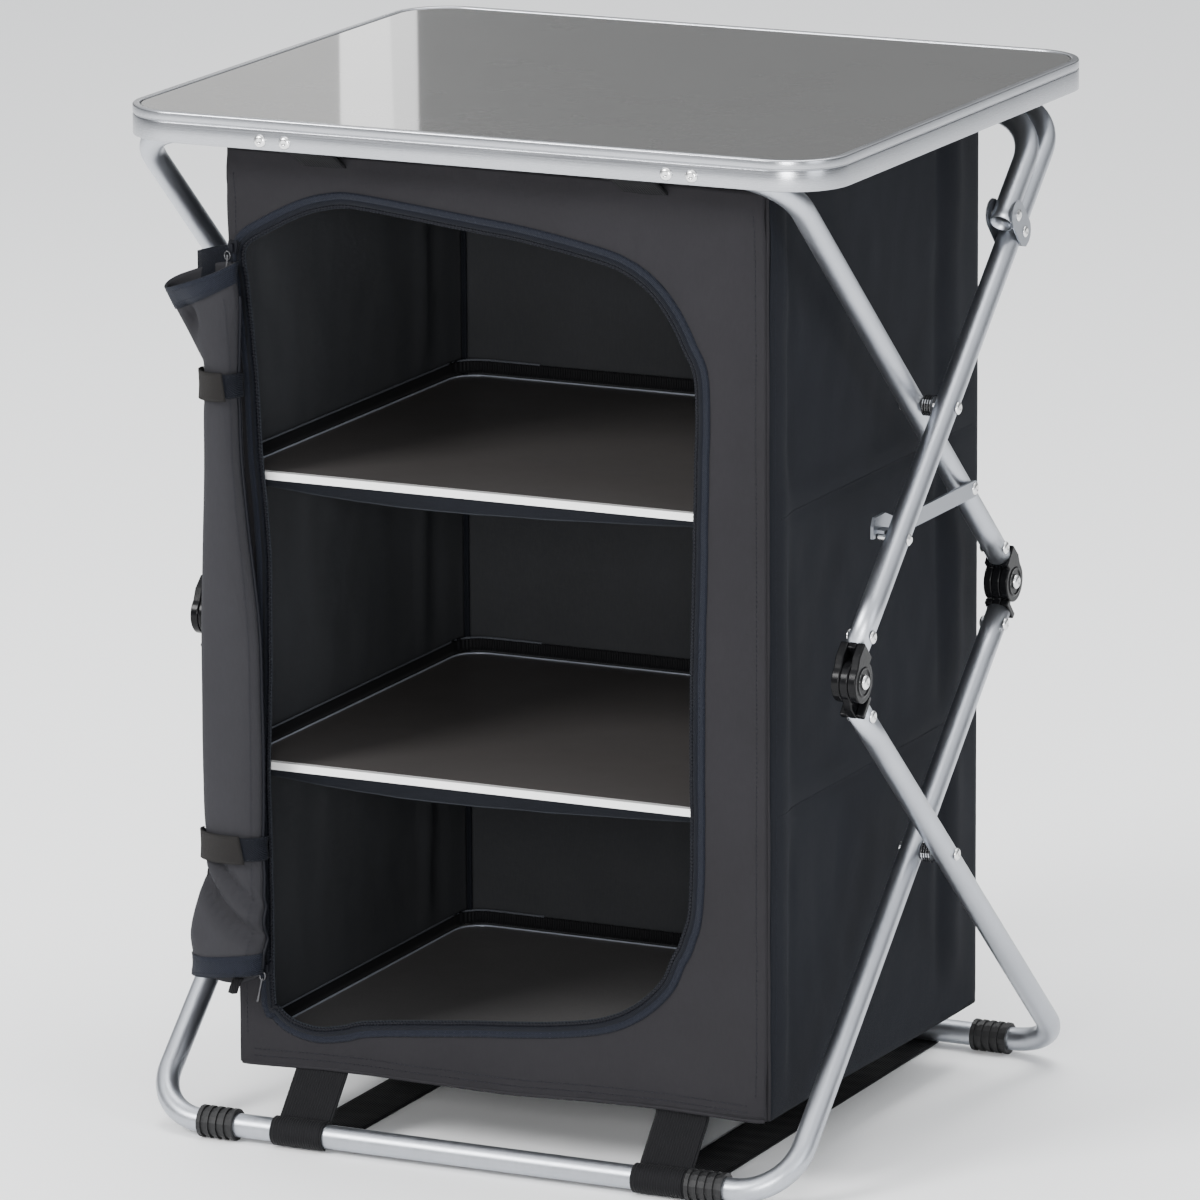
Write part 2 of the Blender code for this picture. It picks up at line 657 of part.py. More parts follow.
def build_brackets():
    """Folded steel brackets that carry the table stay on the rear top frame."""
    reach = STAY_STACK / 2
    lobes = arc((0, reach), BRACKET_RADIUS, 0, math.pi, CORNER_STEPS)
    lobes += arc((0, -reach), BRACKET_RADIUS, math.pi, 2 * math.pi, CORNER_STEPS)
    plate = flat_mesh([lobes], BRACKET_THICKNESS)
    middle = (STAY_FOOT + STAY_FOOT_ON_LEG) / 2
    along = REAR_TOP.run
    toward_stay = STAY_SHIFT.normalized()
    turned = Matrix((along, toward_stay, along.cross(toward_stay))).transposed().to_4x4()
    offset = TUBE_RADIUS + GAP + BRACKET_THICKNESS / 2
    grip = offset + BRACKET_THICKNESS / 2
    web = box_mesh((BRACKET_WEB_LENGTH, BRACKET_THICKNESS, 2 * (grip - GAP)),
                   (0, -reach - TUBE_RADIUS - GAP - BRACKET_THICKNESS / 2, 0))
    leg_rivet = rivet_mesh(2 * (grip - GAP))
    stay_rivet = rivet_mesh(2 * (grip + GAP))
    hole = RIVET_RADIUS + HOLE_PLAY
    for side, x in sides_of(REAR_TOP):
        pieces = [(web, Matrix.Translation((x, middle.y, middle.z)) @ turned)]
        for shift in (-offset, offset):
            pieces.append((plate, Matrix.Translation((x + shift, middle.y, middle.z)) @ turned))
        pieces.append((leg_rivet, along_x((x, STAY_FOOT_ON_LEG.y, STAY_FOOT_ON_LEG.z))))
        reach_x = grip + OVERRUN
        drill = rods_mesh([(x - reach_x, x + reach_x, STAY_FOOT.y, STAY_FOOT.z, hole)])
        fused(f"stay_bracket_{side}", pieces, TUBE_SILVER, drill)
        place(f"stay_pivot_rivet_{side}", stay_rivet.copy(), along_x((x, STAY_FOOT.y, STAY_FOOT.z)),
              RIVET_STEEL)


def latch_outline():
    """The latch bar in the YZ plane, its pivot at the origin and its hook toward the front."""
    half = LATCH_HEIGHT / 2
    length = LATCH_PIVOT.y - CATCH.y
    notch = CATCH_PIN_RADIUS + GAP
    lip_start = -length - CATCH_PIN_RADIUS - LATCH_LIP_PLAY
    lip_end = lip_start - LATCH_LIP_LENGTH
    crank_end = -length + LATCH_HEIGHT
    crank_start = crank_end + LATCH_CRANK
    round_end = arc((0, 0), half, -math.pi / 2, math.pi / 2, CORNER_STEPS)
    front = [(crank_start, half), (crank_end, notch + LATCH_HEIGHT),
             (lip_end + half / 2, notch + LATCH_HEIGHT), (lip_end, notch + half),
             (lip_end, notch - LATCH_LIP), (lip_start, notch - LATCH_LIP), (lip_start, notch),
             (crank_end, notch), (crank_start, -half)]
    return round_end + front


def build_latches():
    """Latch bars riveted flat to the front top frame; each has a foot that rests on a short pin."""
    plate = flat_mesh([latch_outline()], LATCH_THICKNESS)
    room = LEG_PITCH - 2 * TUBE_RADIUS - 2 * GAP
    foot_width = room - LATCH_THICKNESS / 2
    pin_reach = room - LATCH_THICKNESS
    foot_y = CATCH.y - CATCH_PIN_RADIUS + LATCH_HEIGHT / 2
    foot_z = LATCH_Z + CATCH_PIN_RADIUS + GAP + LATCH_THICKNESS / 2
    for name, frame_x, catch_x in (("left", FRONT_TOP.left_x, REAR_TOP.left_x),
                                   ("right", FRONT_TOP.right_x, REAR_TOP.right_x)):
        toward_catch = 1 if catch_x > frame_x else -1
        plate_x = frame_x + toward_catch * (TUBE_RADIUS + GAP + LATCH_THICKNESS / 2)
        far_face = plate_x + toward_catch * (LATCH_THICKNESS / 2 - GAP)
        near_face = frame_x - toward_catch * (TUBE_RADIUS + GAP)
        rivet = rivet_mesh(abs(far_face - near_face))
        rivet_x = (far_face + near_face) / 2
        foot_x = plate_x + toward_catch * foot_width / 2
        fused(f"latch_{name}", [
            (plate, Matrix.Translation((plate_x, LATCH_PIVOT.y, LATCH_Z)) @ SIDEWAYS),
            (box_mesh((foot_width, LATCH_HEIGHT, LATCH_THICKNESS)),
             Matrix.Translation((foot_x, foot_y, foot_z))),
            (rivet, along_x((rivet_x, LATCH_PIVOT.y, LATCH_Z)))], TUBE_SILVER)
        outer = catch_x + toward_catch * (TUBE_RADIUS + GAP)
        length = 2 * TUBE_RADIUS + GAP + pin_reach
        profile = [(0, RIVET_HEAD_HEIGHT), (RIVET_HEAD_RADIUS / 2, RIVET_HEAD_HEIGHT),
                   (RIVET_HEAD_RADIUS, 0), (CATCH_PIN_RADIUS, 0), (CATCH_PIN_RADIUS, -length), (0, -length)]
        turn = Matrix.Rotation(toward_catch * math.pi / 2, 4, "Y")
        place(f"latch_catch_pin_{name}", turned_mesh(profile, RIVET_SIDES),
              Matrix.Translation((outer, CATCH.y, CATCH.z)) @ turn, RIVET_STEEL)


def slab_between(outline, bottom, top):
    mesh = flat_mesh([outline], top - bottom)
    return mesh, (bottom + top) / 2


def build_table():
    half_width = TABLE_WIDTH / 2
    half_depth = TABLE_DEPTH / 2

    def inset(amount):
        return rounded_rectangle(half_width - amount, half_depth - amount, TABLE_CORNER_RADIUS - amount)

    mesh, height = slab_between(inset(0), RIM_BOTTOM_Z, TABLE_HEIGHT)
    rim = show("table_rim", mesh, RIM_ALUMINIUM, smooth=True)
    rim.location.z = height
    under_lip = TABLE_HEIGHT - RIM_WALL
    ledge_bottom = LEDGE_TOP_Z - RIM_WALL
    hollows = (("rim_mouth", RIM_LIP, TABLE_HEIGHT - RIM_WALL - OVERRUN, TABLE_HEIGHT + OVERRUN),
               ("rim_slot", RIM_WALL, LEDGE_TOP_Z, under_lip),
               ("rim_floor", RIM_LEDGE, LEDGE_TOP_Z - RIM_WALL - OVERRUN, LEDGE_TOP_Z + BOARD_THICKNESS / 2),
               ("rim_skirt", RIM_WALL, RIM_BOTTOM_Z - OVERRUN, ledge_bottom))
    for name, amount, bottom, top in hollows:
        mesh, height = slab_between(inset(amount), bottom, top)
        tool = cutter(name, mesh)
        tool.location.z = height
        boolean(rim, tool)
    groove_z = TABLE_HEIGHT - RIM_BAND_HEIGHT
    mesh = flat_mesh([inset(-OVERRUN), inset(RIM_GROOVE_DEPTH)], RIM_GROOVE_WIDTH)
    groove = cutter("rim_groove", mesh)
    groove.location.z = groove_z
    boolean(rim, groove)
    mesh, height = slab_between(inset(RIM_WALL + GAP), LEDGE_TOP_Z + GAP, TABLE_HEIGHT - BOARD_SINK)
    board = show("table_board", mesh, BOARD_GREY)
    board.location.z = height
    step_top = TABLE_HEIGHT + OVERRUN
    mesh = flat_mesh([inset(-OVERRUN), inset(RIM_LIP + BOARD_MARGIN)], step_top - under_lip + GAP)
    step = cutter("board_step", mesh)
    step.location.z = (step_top + under_lip - GAP) / 2
    boolean(board, step)
    rivet_spots = []
    for clip_x in (CLIP_LEFT_X, CLIP_RIGHT_X):
        for side in (-1, 1):
            rivet_spots.append((clip_x + side * RIM_RIVET_PITCH / 2, TOP_BAR_Z))
    shank = RIM_WALL + RIM_RIVET_DEPTH
    hole_radius = RIVET_RADIUS + HOLE_PLAY
    face_y = -half_depth
    drill = bmesh.new()
    for x, z in rivet_spots:
        depth = shank + GAP + OVERRUN
        placed = Matrix.Translation((x, face_y + depth / 2 - OVERRUN, z)) @ Matrix.Rotation(
            math.pi / 2, 4, "X")
        bmesh.ops.create_cone(drill, cap_ends=True, segments=RIVET_SIDES, radius1=hole_radius,
                              radius2=hole_radius, depth=depth, matrix=placed)
    drill_mesh = bpy.data.meshes.new("rim_rivet_holes")
    drill.to_mesh(drill_mesh)
    drill.free()
    boolean(rim, cutter("rim_rivet_holes", drill_mesh))
    profile = [(0, RIVET_HEAD_HEIGHT), (RIVET_HEAD_RADIUS * HEAD_CROWN_SHARE, RIVET_HEAD_HEIGHT),
               (RIVET_HEAD_RADIUS, RIVET_HEAD_HEIGHT * HEAD_EDGE_SHARE), (RIVET_HEAD_RADIUS, GAP),
               (RIVET_RADIUS, GAP), (RIVET_RADIUS, -shank), (0, -shank)]
    build_front_clips(turned_mesh(profile, RIVET_SIDES), face_y)
    build_rear_clips()


def build_front_clips(rivet, face_y):
    """Saddles that snap over the front top bar, each riveted through the front rim."""
    front = face_y + RIM_WALL + GAP
    back = FRONT_BAR_Y + TUBE_RADIUS + CLIP_WALL
    bottom = TOP_BAR_Z - CLIP_GRIP
    under_ledge = LEDGE_TOP_Z - RIM_WALL - GAP
    behind_ledge = face_y + RIM_LEDGE + GAP
    outline = [(front, bottom), (back, bottom), (back, LEDGE_TOP_Z), (behind_ledge, LEDGE_TOP_Z),
               (behind_ledge, under_ledge), (front, under_ledge)]
    saddle = flat_mesh([outline], CLIP_WIDTH)
    reach = CLIP_WIDTH / 2 + OVERRUN
    for side, x in (("left", CLIP_LEFT_X), ("right", CLIP_RIGHT_X)):
        pieces = [(saddle, Matrix.Translation((x, 0, 0)) @ SIDEWAYS)]
        for shift in (-RIM_RIVET_PITCH / 2, RIM_RIVET_PITCH / 2):
            turned = Matrix.Translation((x + shift, face_y, TOP_BAR_Z)) @ Matrix.Rotation(math.pi / 2, 4, "X")
            pieces.append((rivet, turned))
        bore = [(x - reach, x + reach, FRONT_BAR_Y, TOP_BAR_Z, TUBE_RADIUS + GAP)]
        fused(f"front_table_clip_{side}", pieces, KNUCKLE_BLACK, rods_mesh(bore, 2 * ROUND_SIDES))


def build_rear_clips():
    """Rests under the back of the board that sit on the stay's bar and stop it at the front."""
    board_bottom = LEDGE_TOP_Z + GAP
    rest = STAY_BAR.z + TUBE_RADIUS + GAP
    lip_bottom = STAY_BAR.z - TUBE_RADIUS / 2
    front = STAY_BAR.y - TUBE_RADIUS - GAP - REAR_CLIP_LIP
    outline = [(front, lip_bottom), (front + REAR_CLIP_LIP, lip_bottom), (front + REAR_CLIP_LIP, rest),
               (front + REAR_CLIP_DEPTH, rest), (front + REAR_CLIP_DEPTH, board_bottom - GAP),
               (front, board_bottom - GAP)]
    block = flat_mesh([outline], CLIP_WIDTH)
    for side, x in (("left", -CLIP_RIGHT_X), ("right", CLIP_RIGHT_X)):
        place(f"rear_table_clip_{side}", block.copy(), Matrix.Translation((x, 0, 0)) @ SIDEWAYS,
              KNUCKLE_BLACK, smooth=False)


def opening_outline(grow=0.0):
    """The door opening, a lopsided arch, from shares of its width and height."""
    shares = ((0.00, 0.93), (0.09, 0.975), (0.19, 1.0), (0.30, 0.998), (0.47, 0.987), (0.60, 0.978),
              (0.72, 0.965), (0.83, 0.945), (0.91, 0.91), (0.965, 0.86), (0.995, 0.80), (1.00, 0.70),
              (1.00, 0.20), (0.975, 0.13), (0.93, 0.085), (0.87, 0.062), (0.77, 0.050), (0.60, 0.037),
              (0.40, 0.025), (0.22, 0.012), (0.12, 0.000), (0.05, 0.010), (0.00, 0.045))
    width = OPENING_RIGHT_X - OPENING_LEFT_X
    height = OPENING_TOP_Z - OPENING_BOTTOM_Z
    points = [Vector((OPENING_LEFT_X + width * a, OPENING_BOTTOM_Z + height * b)) for a, b in shares]
    grown = []
    count = len(points)
    for index, point in enumerate(points):
        before = points[index - 1]
        after = points[(index + 1) % count]
        tangent = (after - before).normalized()
        outward = Vector((-tangent.y, tangent.x))
        grown.append(point + outward * grow)
    return [(p.x, p.y) for p in grown]


def build_cabinet():
    half = CABINET_HALF_WIDTH
    depth = CABINET_BACK_Y - CABINET_FRONT_Y
    middle_y = (CABINET_FRONT_Y + CABINET_BACK_Y) / 2
    rectangle = [(-half, CABINET_BOTTOM_Z), (half, CABINET_BOTTOM_Z), (half, CABINET_TOP_Z),
                 (-half, CABINET_TOP_Z)]
    front = show("cabinet_front_panel", flat_mesh([rectangle, opening_outline()], CLOTH), CLOTH_CHARCOAL)
    front.matrix_world = Matrix.Translation((0, CABINET_FRONT_Y + CLOTH / 2, 0)) @ UPRIGHT_FRONT
    wall_front = CABINET_FRONT_Y + CLOTH + GAP
    corner_z = STAY_BAR.z - TUBE_RADIUS - CORNER_GAP
    corner_y = STAY_BAR.y - TUBE_RADIUS - CORNER_GAP
    side_outline = [(wall_front, CABINET_BOTTOM_Z), (CABINET_BACK_Y, CABINET_BOTTOM_Z),
                    (CABINET_BACK_Y, corner_z), (corner_y, corner_z), (corner_y - CORNER_GAP, CABINET_TOP_Z),
                    (wall_front, CABINET_TOP_Z)]
    side_mesh = flat_mesh([side_outline], CLOTH)
    for name, side in (("left", -1), ("right", 1)):
        place(f"cabinet_{name}_wall", side_mesh.copy(),
              Matrix.Translation((side * (half - CLOTH / 2), 0, 0)) @ SIDEWAYS, CLOTH_DARK, smooth=False)
    between = 2 * (half - CLOTH - GAP)
    back = show("cabinet_back_wall", box_mesh((between, CLOTH, corner_z - CABINET_BOTTOM_Z)), CLOTH_DARK)
    back.location = (0, CABINET_BACK_Y - CLOTH / 2, (corner_z + CABINET_BOTTOM_Z) / 2)
    floor_depth = depth - 2 * (CLOTH + GAP)
    floor = show("cabinet_floor_cloth", box_mesh((between, floor_depth, CLOTH)), CLOTH_DARK)
    floor.location = (0, middle_y, CABINET_BOTTOM_Z + CLOTH / 2)
    ring = flat_mesh([opening_outline(BINDING_WIDTH / 2), opening_outline(-BINDING_WIDTH / 2)],
                     BINDING_THICKNESS)
    binding = show("opening_zip_tape", ring, BINDING_NAVY)
    binding_y = CABINET_FRONT_Y - GAP - BINDING_THICKNESS / 2
    binding.matrix_world = Matrix.Translation((0, binding_y, 0)) @ UPRIGHT_FRONT


def build_shelves():
    half = CABINET_HALF_WIDTH - CLOTH - GAP
    front = CABINET_FRONT_Y + CLOTH + GAP
    back = CABINET_BACK_Y - CLOTH - SHELF_BACK_GAP
    for name, z in (("upper", UPPER_SHELF_Z), ("middle", MIDDLE_SHELF_Z), ("lower", LOWER_SHELF_Z)):
        edge_back = front + SHELF_EDGE_DEPTH
        tongue_front = front + SHELF_EDGE_DEPTH / 2
        edge_z = z - SHELF_EDGE_HEIGHT / 2
        tongue_top = edge_z + SHELF_THICKNESS / 2
        tongue_bottom = edge_z - SHELF_THICKNESS / 2
        bottom = z - SHELF_EDGE_HEIGHT
        stop = tongue_front - GAP
        channel = [(front, bottom), (edge_back, bottom), (edge_back, tongue_bottom - GAP),
                   (stop, tongue_bottom - GAP), (stop, tongue_top + GAP), (edge_back, tongue_top + GAP),
                   (edge_back, z), (front, z)]
        board = [(tongue_front, tongue_bottom), (back, tongue_bottom), (back, z), (edge_back + GAP, z),
                 (edge_back + GAP, tongue_top), (tongue_front, tongue_top)]
        for piece, outline, finish in ((f"{name}_shelf_edge", channel, RIM_ALUMINIUM),
                                       (f"{name}_shelf", board, SHELF_GREY)):
            place(piece, flat_mesh([outline], 2 * half), SIDEWAYS, finish, smooth=False)


def build_door_roll():
    """The door, rolled up along the left edge of its opening, flared at both ends."""
    length = ROLL_TOP_Z - ROLL_BOTTOM_Z
    y = CABINET_FRONT_Y - GAP - ROLL_RADIUS
    stations = ((0.0, ROLL_FLARE_RADIUS), (ROLL_NECK_SHARE / 2, ROLL_FLARE_RADIUS),
                (ROLL_NECK_SHARE, ROLL_RADIUS), (1 - ROLL_NECK_SHARE, ROLL_RADIUS),
                (1 - ROLL_NECK_SHARE / 2, ROLL_FLARE_RADIUS), (1.0, ROLL_FLARE_RADIUS))
    points = [(ROLL_X, y - (radius - ROLL_RADIUS), ROLL_BOTTOM_Z + length * share)
              for share, radius in stations]
    data = poly_curve("roll", "3D", [points], False)
    data.bevel_depth = ROLL_RADIUS
    data.bevel_resolution = 2
    data.use_fill_caps = True
    for point, (_, radius) in zip(data.splines[0].points, stations):
        point.radius = radius / ROLL_RADIUS
    item = bpy.data.objects.new("roll", data)
    CUTTERS.objects.link(item)
    show("door_roll", mesh_from(item), CLOTH_CHARCOAL, smooth=True)
    inner = ROLL_RADIUS + GAP
    outer = inner + STRAP_THICKNESS
    half = STRAP_WIDTH / 2
    ring = [(inner, half), (outer, half), (outer, -half), (inner, -half), (inner, half)]
    band = turned_mesh(ring, ROUND_SIDES)
    front = CABINET_FRONT_Y - GAP
    keep_out = cutter("roll_strap_back", box_mesh((4 * outer, outer, length), (
        ROLL_X, front + outer / 2, (ROLL_TOP_Z + ROLL_BOTTOM_Z) / 2)))
    for name, z in (("upper", ROLL_STRAP_UPPER_Z), ("lower", ROLL_STRAP_LOWER_Z)):
        strap = place(f"door_roll_strap_{name}", band.copy(), Matrix.Translation((ROLL_X, y, z)),
                      WEBBING_BLACK)
        boolean(strap, keep_out)


def build_sliders():
    """Zip sliders at the two ends of the rolled side of the door, each with its pull."""
    y = CABINET_FRONT_Y - 2 * GAP - BINDING_THICKNESS - SLIDER_THICKNESS / 2
    wide = SLIDER_WIDTH / 2
    narrow = SLIDER_PULL_WIDTH / 2
    half = SLIDER_LENGTH / 2
    outline = [(-wide, -half), (-narrow, -half), (-narrow, -half - SLIDER_PULL_LENGTH),
               (narrow, -half - SLIDER_PULL_LENGTH), (narrow, -half), (wide, -half), (wide, half),
               (-wide, half)]
    mesh = flat_mesh([outline], SLIDER_THICKNESS)
    for name, z in (("upper", SLIDER_UPPER_Z), ("lower", SLIDER_LOWER_Z)):
        place(f"zip_slider_{name}", mesh.copy(),
              Matrix.Translation((OPENING_LEFT_X, y, z)) @ UPRIGHT_FRONT, RIVET_STEEL, smooth=False)


def ribbon_mesh(route, width):
    """A flat strap of webbing along a route in the YZ plane, centred on local X."""
    half = WEBBING_THICKNESS / 2
    middle = [Vector(point) for point in route]
    left = []
    right = []
    for index, point in enumerate(middle):
        before = middle[max(index - 1, 0)]
        after = middle[min(index + 1, len(middle) - 1)]
        tangent = (after - before).normalized()
        normal = Vector((-tangent.y, tangent.x))
        left.append(tuple(point + normal * half))
        right.append(tuple(point - normal * half))
    return flat_mesh([left + right[::-1]], width)


def strap_pair(name, route):
    mesh = ribbon_mesh(route, WEBBING_WIDTH)
    for side, x in (("left", -WEBBING_X), ("right", WEBBING_X)):
        place(f"{name}_{side}", mesh.copy(), Matrix.Translation((x, 0, 0)) @ SIDEWAYS, WEBBING_BLACK)


def wrap(centre_y, centre_z, start, end):
    radius = TUBE_RADIUS + GAP + WEBBING_THICKNESS / 2
    return arc((centre_y, centre_z), radius, start, end, CORNER_STEPS)


def build_webbing():
    """Straps that tie the foot of the cabinet to the floor bars and run on under its floor."""
    hem_z = CABINET_BOTTOM_Z + HEM_TUCK
    front_hem_y = CABINET_FRONT_Y - GAP - WEBBING_THICKNESS / 2
    around_front = wrap(FRONT_BAR_Y, FLOOR_BAR_Z, math.radians(HEM_LIFT_DEG), math.radians(UNDER_BAR_DEG))
    strap_pair("front_floor_strap", [(front_hem_y, hem_z)] + around_front)
    back_hem_y = CABINET_BACK_Y + GAP + WEBBING_THICKNESS / 2
    around_rear = wrap(REAR_BAR_Y, FLOOR_BAR_Z, math.pi - math.radians(HEM_LIFT_DEG), -math.pi / 2)
    front_end_y = FRONT_BAR_Y + TUBE_RADIUS + 2 * WEBBING_THICKNESS
    strap_pair("rear_floor_strap", [(back_hem_y, hem_z)] + around_rear + [(front_end_y, around_rear[-1][1])])


def build_bodies():
    """Empties on the joint axes; each carries the pieces that move with it."""
    pair = ("left", "right")
    frame_of = {
        "front_foot_pivot": ((0, FRONT_BAR_Y, FLOOR_BAR_Z), ["front_foot_frame"], (
            "rear_knuckle_lower", "rear_knuckle_pin", "front_foot_grip", "lower_cross_pivot")),
        "rear_foot_pivot": ((0, FRAME_CENTRE_Y, LOWER_CROSS_Z), ["rear_foot_frame"], (
            "front_knuckle_lower", "front_knuckle_pin", "rear_foot_grip")),
        "front_top_pivot": ((0, REAR_PIN_Y, PIN_Z), ["front_top_frame"], (
            "rear_knuckle_upper", "upper_cross_pivot")),
        "rear_top_pivot": ((0, FRONT_PIN_Y, PIN_Z), ["rear_top_frame"], (
            "front_knuckle_upper", "latch_catch_pin", "stay_bracket", "stay_pivot_rivet")),
        "table_pivot": ((0, FRONT_BAR_Y, TOP_BAR_Z), ["table_board", "table_rim"], (
            "front_table_clip", "rear_table_clip")),
        "table_stay_pivot": (tuple(STAY_FOOT), ["table_stay"], ()),
        "latch_pivot": (tuple(LATCH_PIVOT), [], ("latch",)),
    }
    bpy.context.view_layer.update()
    for name, (location, alone, paired) in frame_of.items():
        pieces = alone + [f"{stem}_{side}" for stem in paired for side in pair]
        pivot = bpy.data.objects.new(name, None)
        pivot.location = location
        PARTS.objects.link(pivot)
        bpy.context.view_layer.update()
        for piece_name in pieces:
            piece = bpy.data.objects[piece_name]
            placed = piece.matrix_world.copy()
            piece.parent = pivot
            piece.matrix_world = placed


def build():
    build_tubes()
    build_knuckles()
    build_knuckle_pins()
    build_cross_pivots()
    build_feet()
    build_brackets()
    build_latches()
    build_table()
    build_cabinet()
    build_shelves()
    build_door_roll()
    build_sliders()
    build_webbing()
    build_bodies()


build()
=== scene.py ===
"""Looks of the fabric camp kitchen cupboard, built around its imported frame.

Metres, +X to the viewer's right, +Y to the rear, +Z up, the origin on the floor under the table.
"""
import math
from collections import namedtuple

import bmesh
import bpy
import numpy as np
from mathutils import Matrix, Vector, noise


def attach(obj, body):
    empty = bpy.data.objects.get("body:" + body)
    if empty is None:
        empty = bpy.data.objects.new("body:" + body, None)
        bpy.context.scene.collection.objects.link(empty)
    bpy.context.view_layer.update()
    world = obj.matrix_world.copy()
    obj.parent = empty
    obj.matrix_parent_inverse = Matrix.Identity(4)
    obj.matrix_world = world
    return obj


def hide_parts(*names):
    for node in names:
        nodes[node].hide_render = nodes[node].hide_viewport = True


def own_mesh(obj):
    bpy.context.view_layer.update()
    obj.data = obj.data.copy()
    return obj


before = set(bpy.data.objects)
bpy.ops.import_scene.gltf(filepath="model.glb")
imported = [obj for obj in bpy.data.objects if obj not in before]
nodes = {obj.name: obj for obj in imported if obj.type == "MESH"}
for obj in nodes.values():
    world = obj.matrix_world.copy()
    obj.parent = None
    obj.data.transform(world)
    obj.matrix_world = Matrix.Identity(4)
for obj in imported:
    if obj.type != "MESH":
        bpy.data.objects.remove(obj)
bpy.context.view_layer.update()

SIDES = ((-1, "left"), (1, "right"))

# Cabinet: the planes of its cloth and the heights of its shelves
HALF_WIDTH = 0.228
FRONT_Y = -0.210
BACK_Y = 0.194
TOP_Z = 0.785
BOTTOM_Z = 0.060
REAR_CORNER_Z = 0.7705
CLOTH_THICKNESS = 0.0011
SHELF_HEIGHTS = (("upper", 0.531), ("middle", 0.299), ("lower", 0.0679))
SEWN_SHELVES = SHELF_HEIGHTS[:2]

# Frame: the x of its legs, the y and z of its bars, slope and length of its legs, bends and pins
OUTER_LEG = 0.2885
INNER_LEG = 0.2605
FRONT_TOP_BAR = (-0.247, 0.803)
REAR_TOP_BAR = (0.2112, 0.785)
FRONT_FLOOR_BAR = (-0.247, 0.0127)
REAR_FLOOR_BAR = (0.231, 0.0127)
STAY_BAR = (0.18001, 0.785)
SLOPE = math.radians(42.2946)
RUN_Y = math.cos(SLOPE)
RUN_Z = math.sin(SLOPE)
LEG_LENGTH = 0.55311
REAR_TOP_LENGTH = 0.52636
STAY_LENGTH = 0.11035
BEND = 0.045
STAY_BEND = 0.050
TUBE_RADIUS = 0.0095
PIN_Z = (FRONT_TOP_BAR[1] + FRONT_FLOOR_BAR[1]) / 2
REAR_PIN = (0.171, PIN_Z)
FRONT_PIN = (-0.187, PIN_Z)
CROSS_Y = (REAR_PIN[0] + FRONT_PIN[0]) / 2
CROSS_RISE = (CROSS_Y - FRONT_FLOOR_BAR[0]) * RUN_Z / RUN_Y

# Door opening as (x, z), clockwise from the foot of its left edge
OPENING = [(-0.199, 0.112), (-0.200, 0.236), (-0.201, 0.300), (-0.1985, 0.370), (-0.1975, 0.460),
           (-0.2035, 0.545), (-0.2080, 0.620), (-0.2130, 0.675), (-0.2162, 0.700), (-0.2120, 0.7130),
           (-0.195, 0.7240), (-0.167, 0.7385), (-0.143, 0.7465), (-0.112, 0.7490), (-0.026, 0.740),
           (0.023, 0.735), (0.066, 0.728), (0.109, 0.718), (0.139, 0.698), (0.163, 0.661),
           (0.174, 0.628), (0.1725, 0.530), (0.170, 0.428), (0.1685, 0.330), (0.168, 0.231),
           (0.160, 0.195), (0.152, 0.179), (0.142, 0.158), (0.120, 0.137), (0.092, 0.123),
           (0.048, 0.114), (-0.036, 0.105), (-0.112, 0.096), (-0.134, 0.090), (-0.158, 0.086),
           (-0.180, 0.090), (-0.194, 0.100)]
OPENING_MIDDLE = (-0.014, 0.420)


# Camera, light and floor

CAMERA_PLACE = (3.0786, -6.4548, 2.0787)
CAMERA_YAW, CAMERA_PITCH, CAMERA_ROLL = 0.4466, 0.2301, -0.0059
LENS = 279.15
SENSOR = 36

# Name, place, target, width, power, colour and, for a rectangle, its height
LIGHTS = (
    ("key", (-2.2, -3.6, 3.0), (0, 0, 0.4), 1.6, 250, (1, 1, 1), None),
    ("fill", (3.8, -1.6, 1.6), (0, 0, 0.4), 2.0, 50, (0.93, 0.96, 1.0), None),
    ("front", (1.6, -4.6, 1.3), (-0.05, 0, 0.42), 1.4, 170, (1, 1, 1), None),
    ("sky", (0, 0.6, 4.2), (0, 0, 0.8), 3.0, 170, (1, 1, 1), None),
    ("window", (-1.728, 3.0, 1.50), (-0.10, -0.1, 0.82), 0.090, 0.62, (1, 1, 1), 0.9),
    ("wall", (-2.30, 3.0, 1.50), (-0.2, -0.1, 0.82), 1.06, 2.6, (1, 0.995, 0.98), 0.9),
)


def make_camera():
    forward = Vector((-math.sin(CAMERA_YAW) * math.cos(CAMERA_PITCH),
                      math.cos(CAMERA_YAW) * math.cos(CAMERA_PITCH), -math.sin(CAMERA_PITCH)))
    right = Vector((math.cos(CAMERA_YAW), math.sin(CAMERA_YAW), 0))
    up = right.cross(forward)
    right_rolled = right * math.cos(CAMERA_ROLL) + up * math.sin(CAMERA_ROLL)
    up_rolled = up * math.cos(CAMERA_ROLL) - right * math.sin(CAMERA_ROLL)
    turned_to = Matrix((right_rolled, up_rolled, -forward)).transposed().to_4x4()
    turned_to.translation = CAMERA_PLACE
    data = bpy.data.cameras.new("camera")
    data.lens = LENS
    data.sensor_width = SENSOR
    data.clip_end = 100
    camera = bpy.data.objects.new("camera", data)
    camera.matrix_world = turned_to
    bpy.context.scene.collection.objects.link(camera)
    bpy.context.scene.camera = camera


def area_light(name, place, target, size, power, colour, height):
    data = bpy.data.lights.new(name, "AREA")
    data.energy = power
    data.color = colour
    data.size = size
    if height:
        data.shape = "RECTANGLE"
        data.size_y = height
    light = bpy.data.objects.new(name, data)
    light.location = place
    light.rotation_euler = (Vector(target) - Vector(place)).to_track_quat("-Z", "Y").to_euler()
    light.visible_camera = False
    bpy.context.scene.collection.objects.link(light)


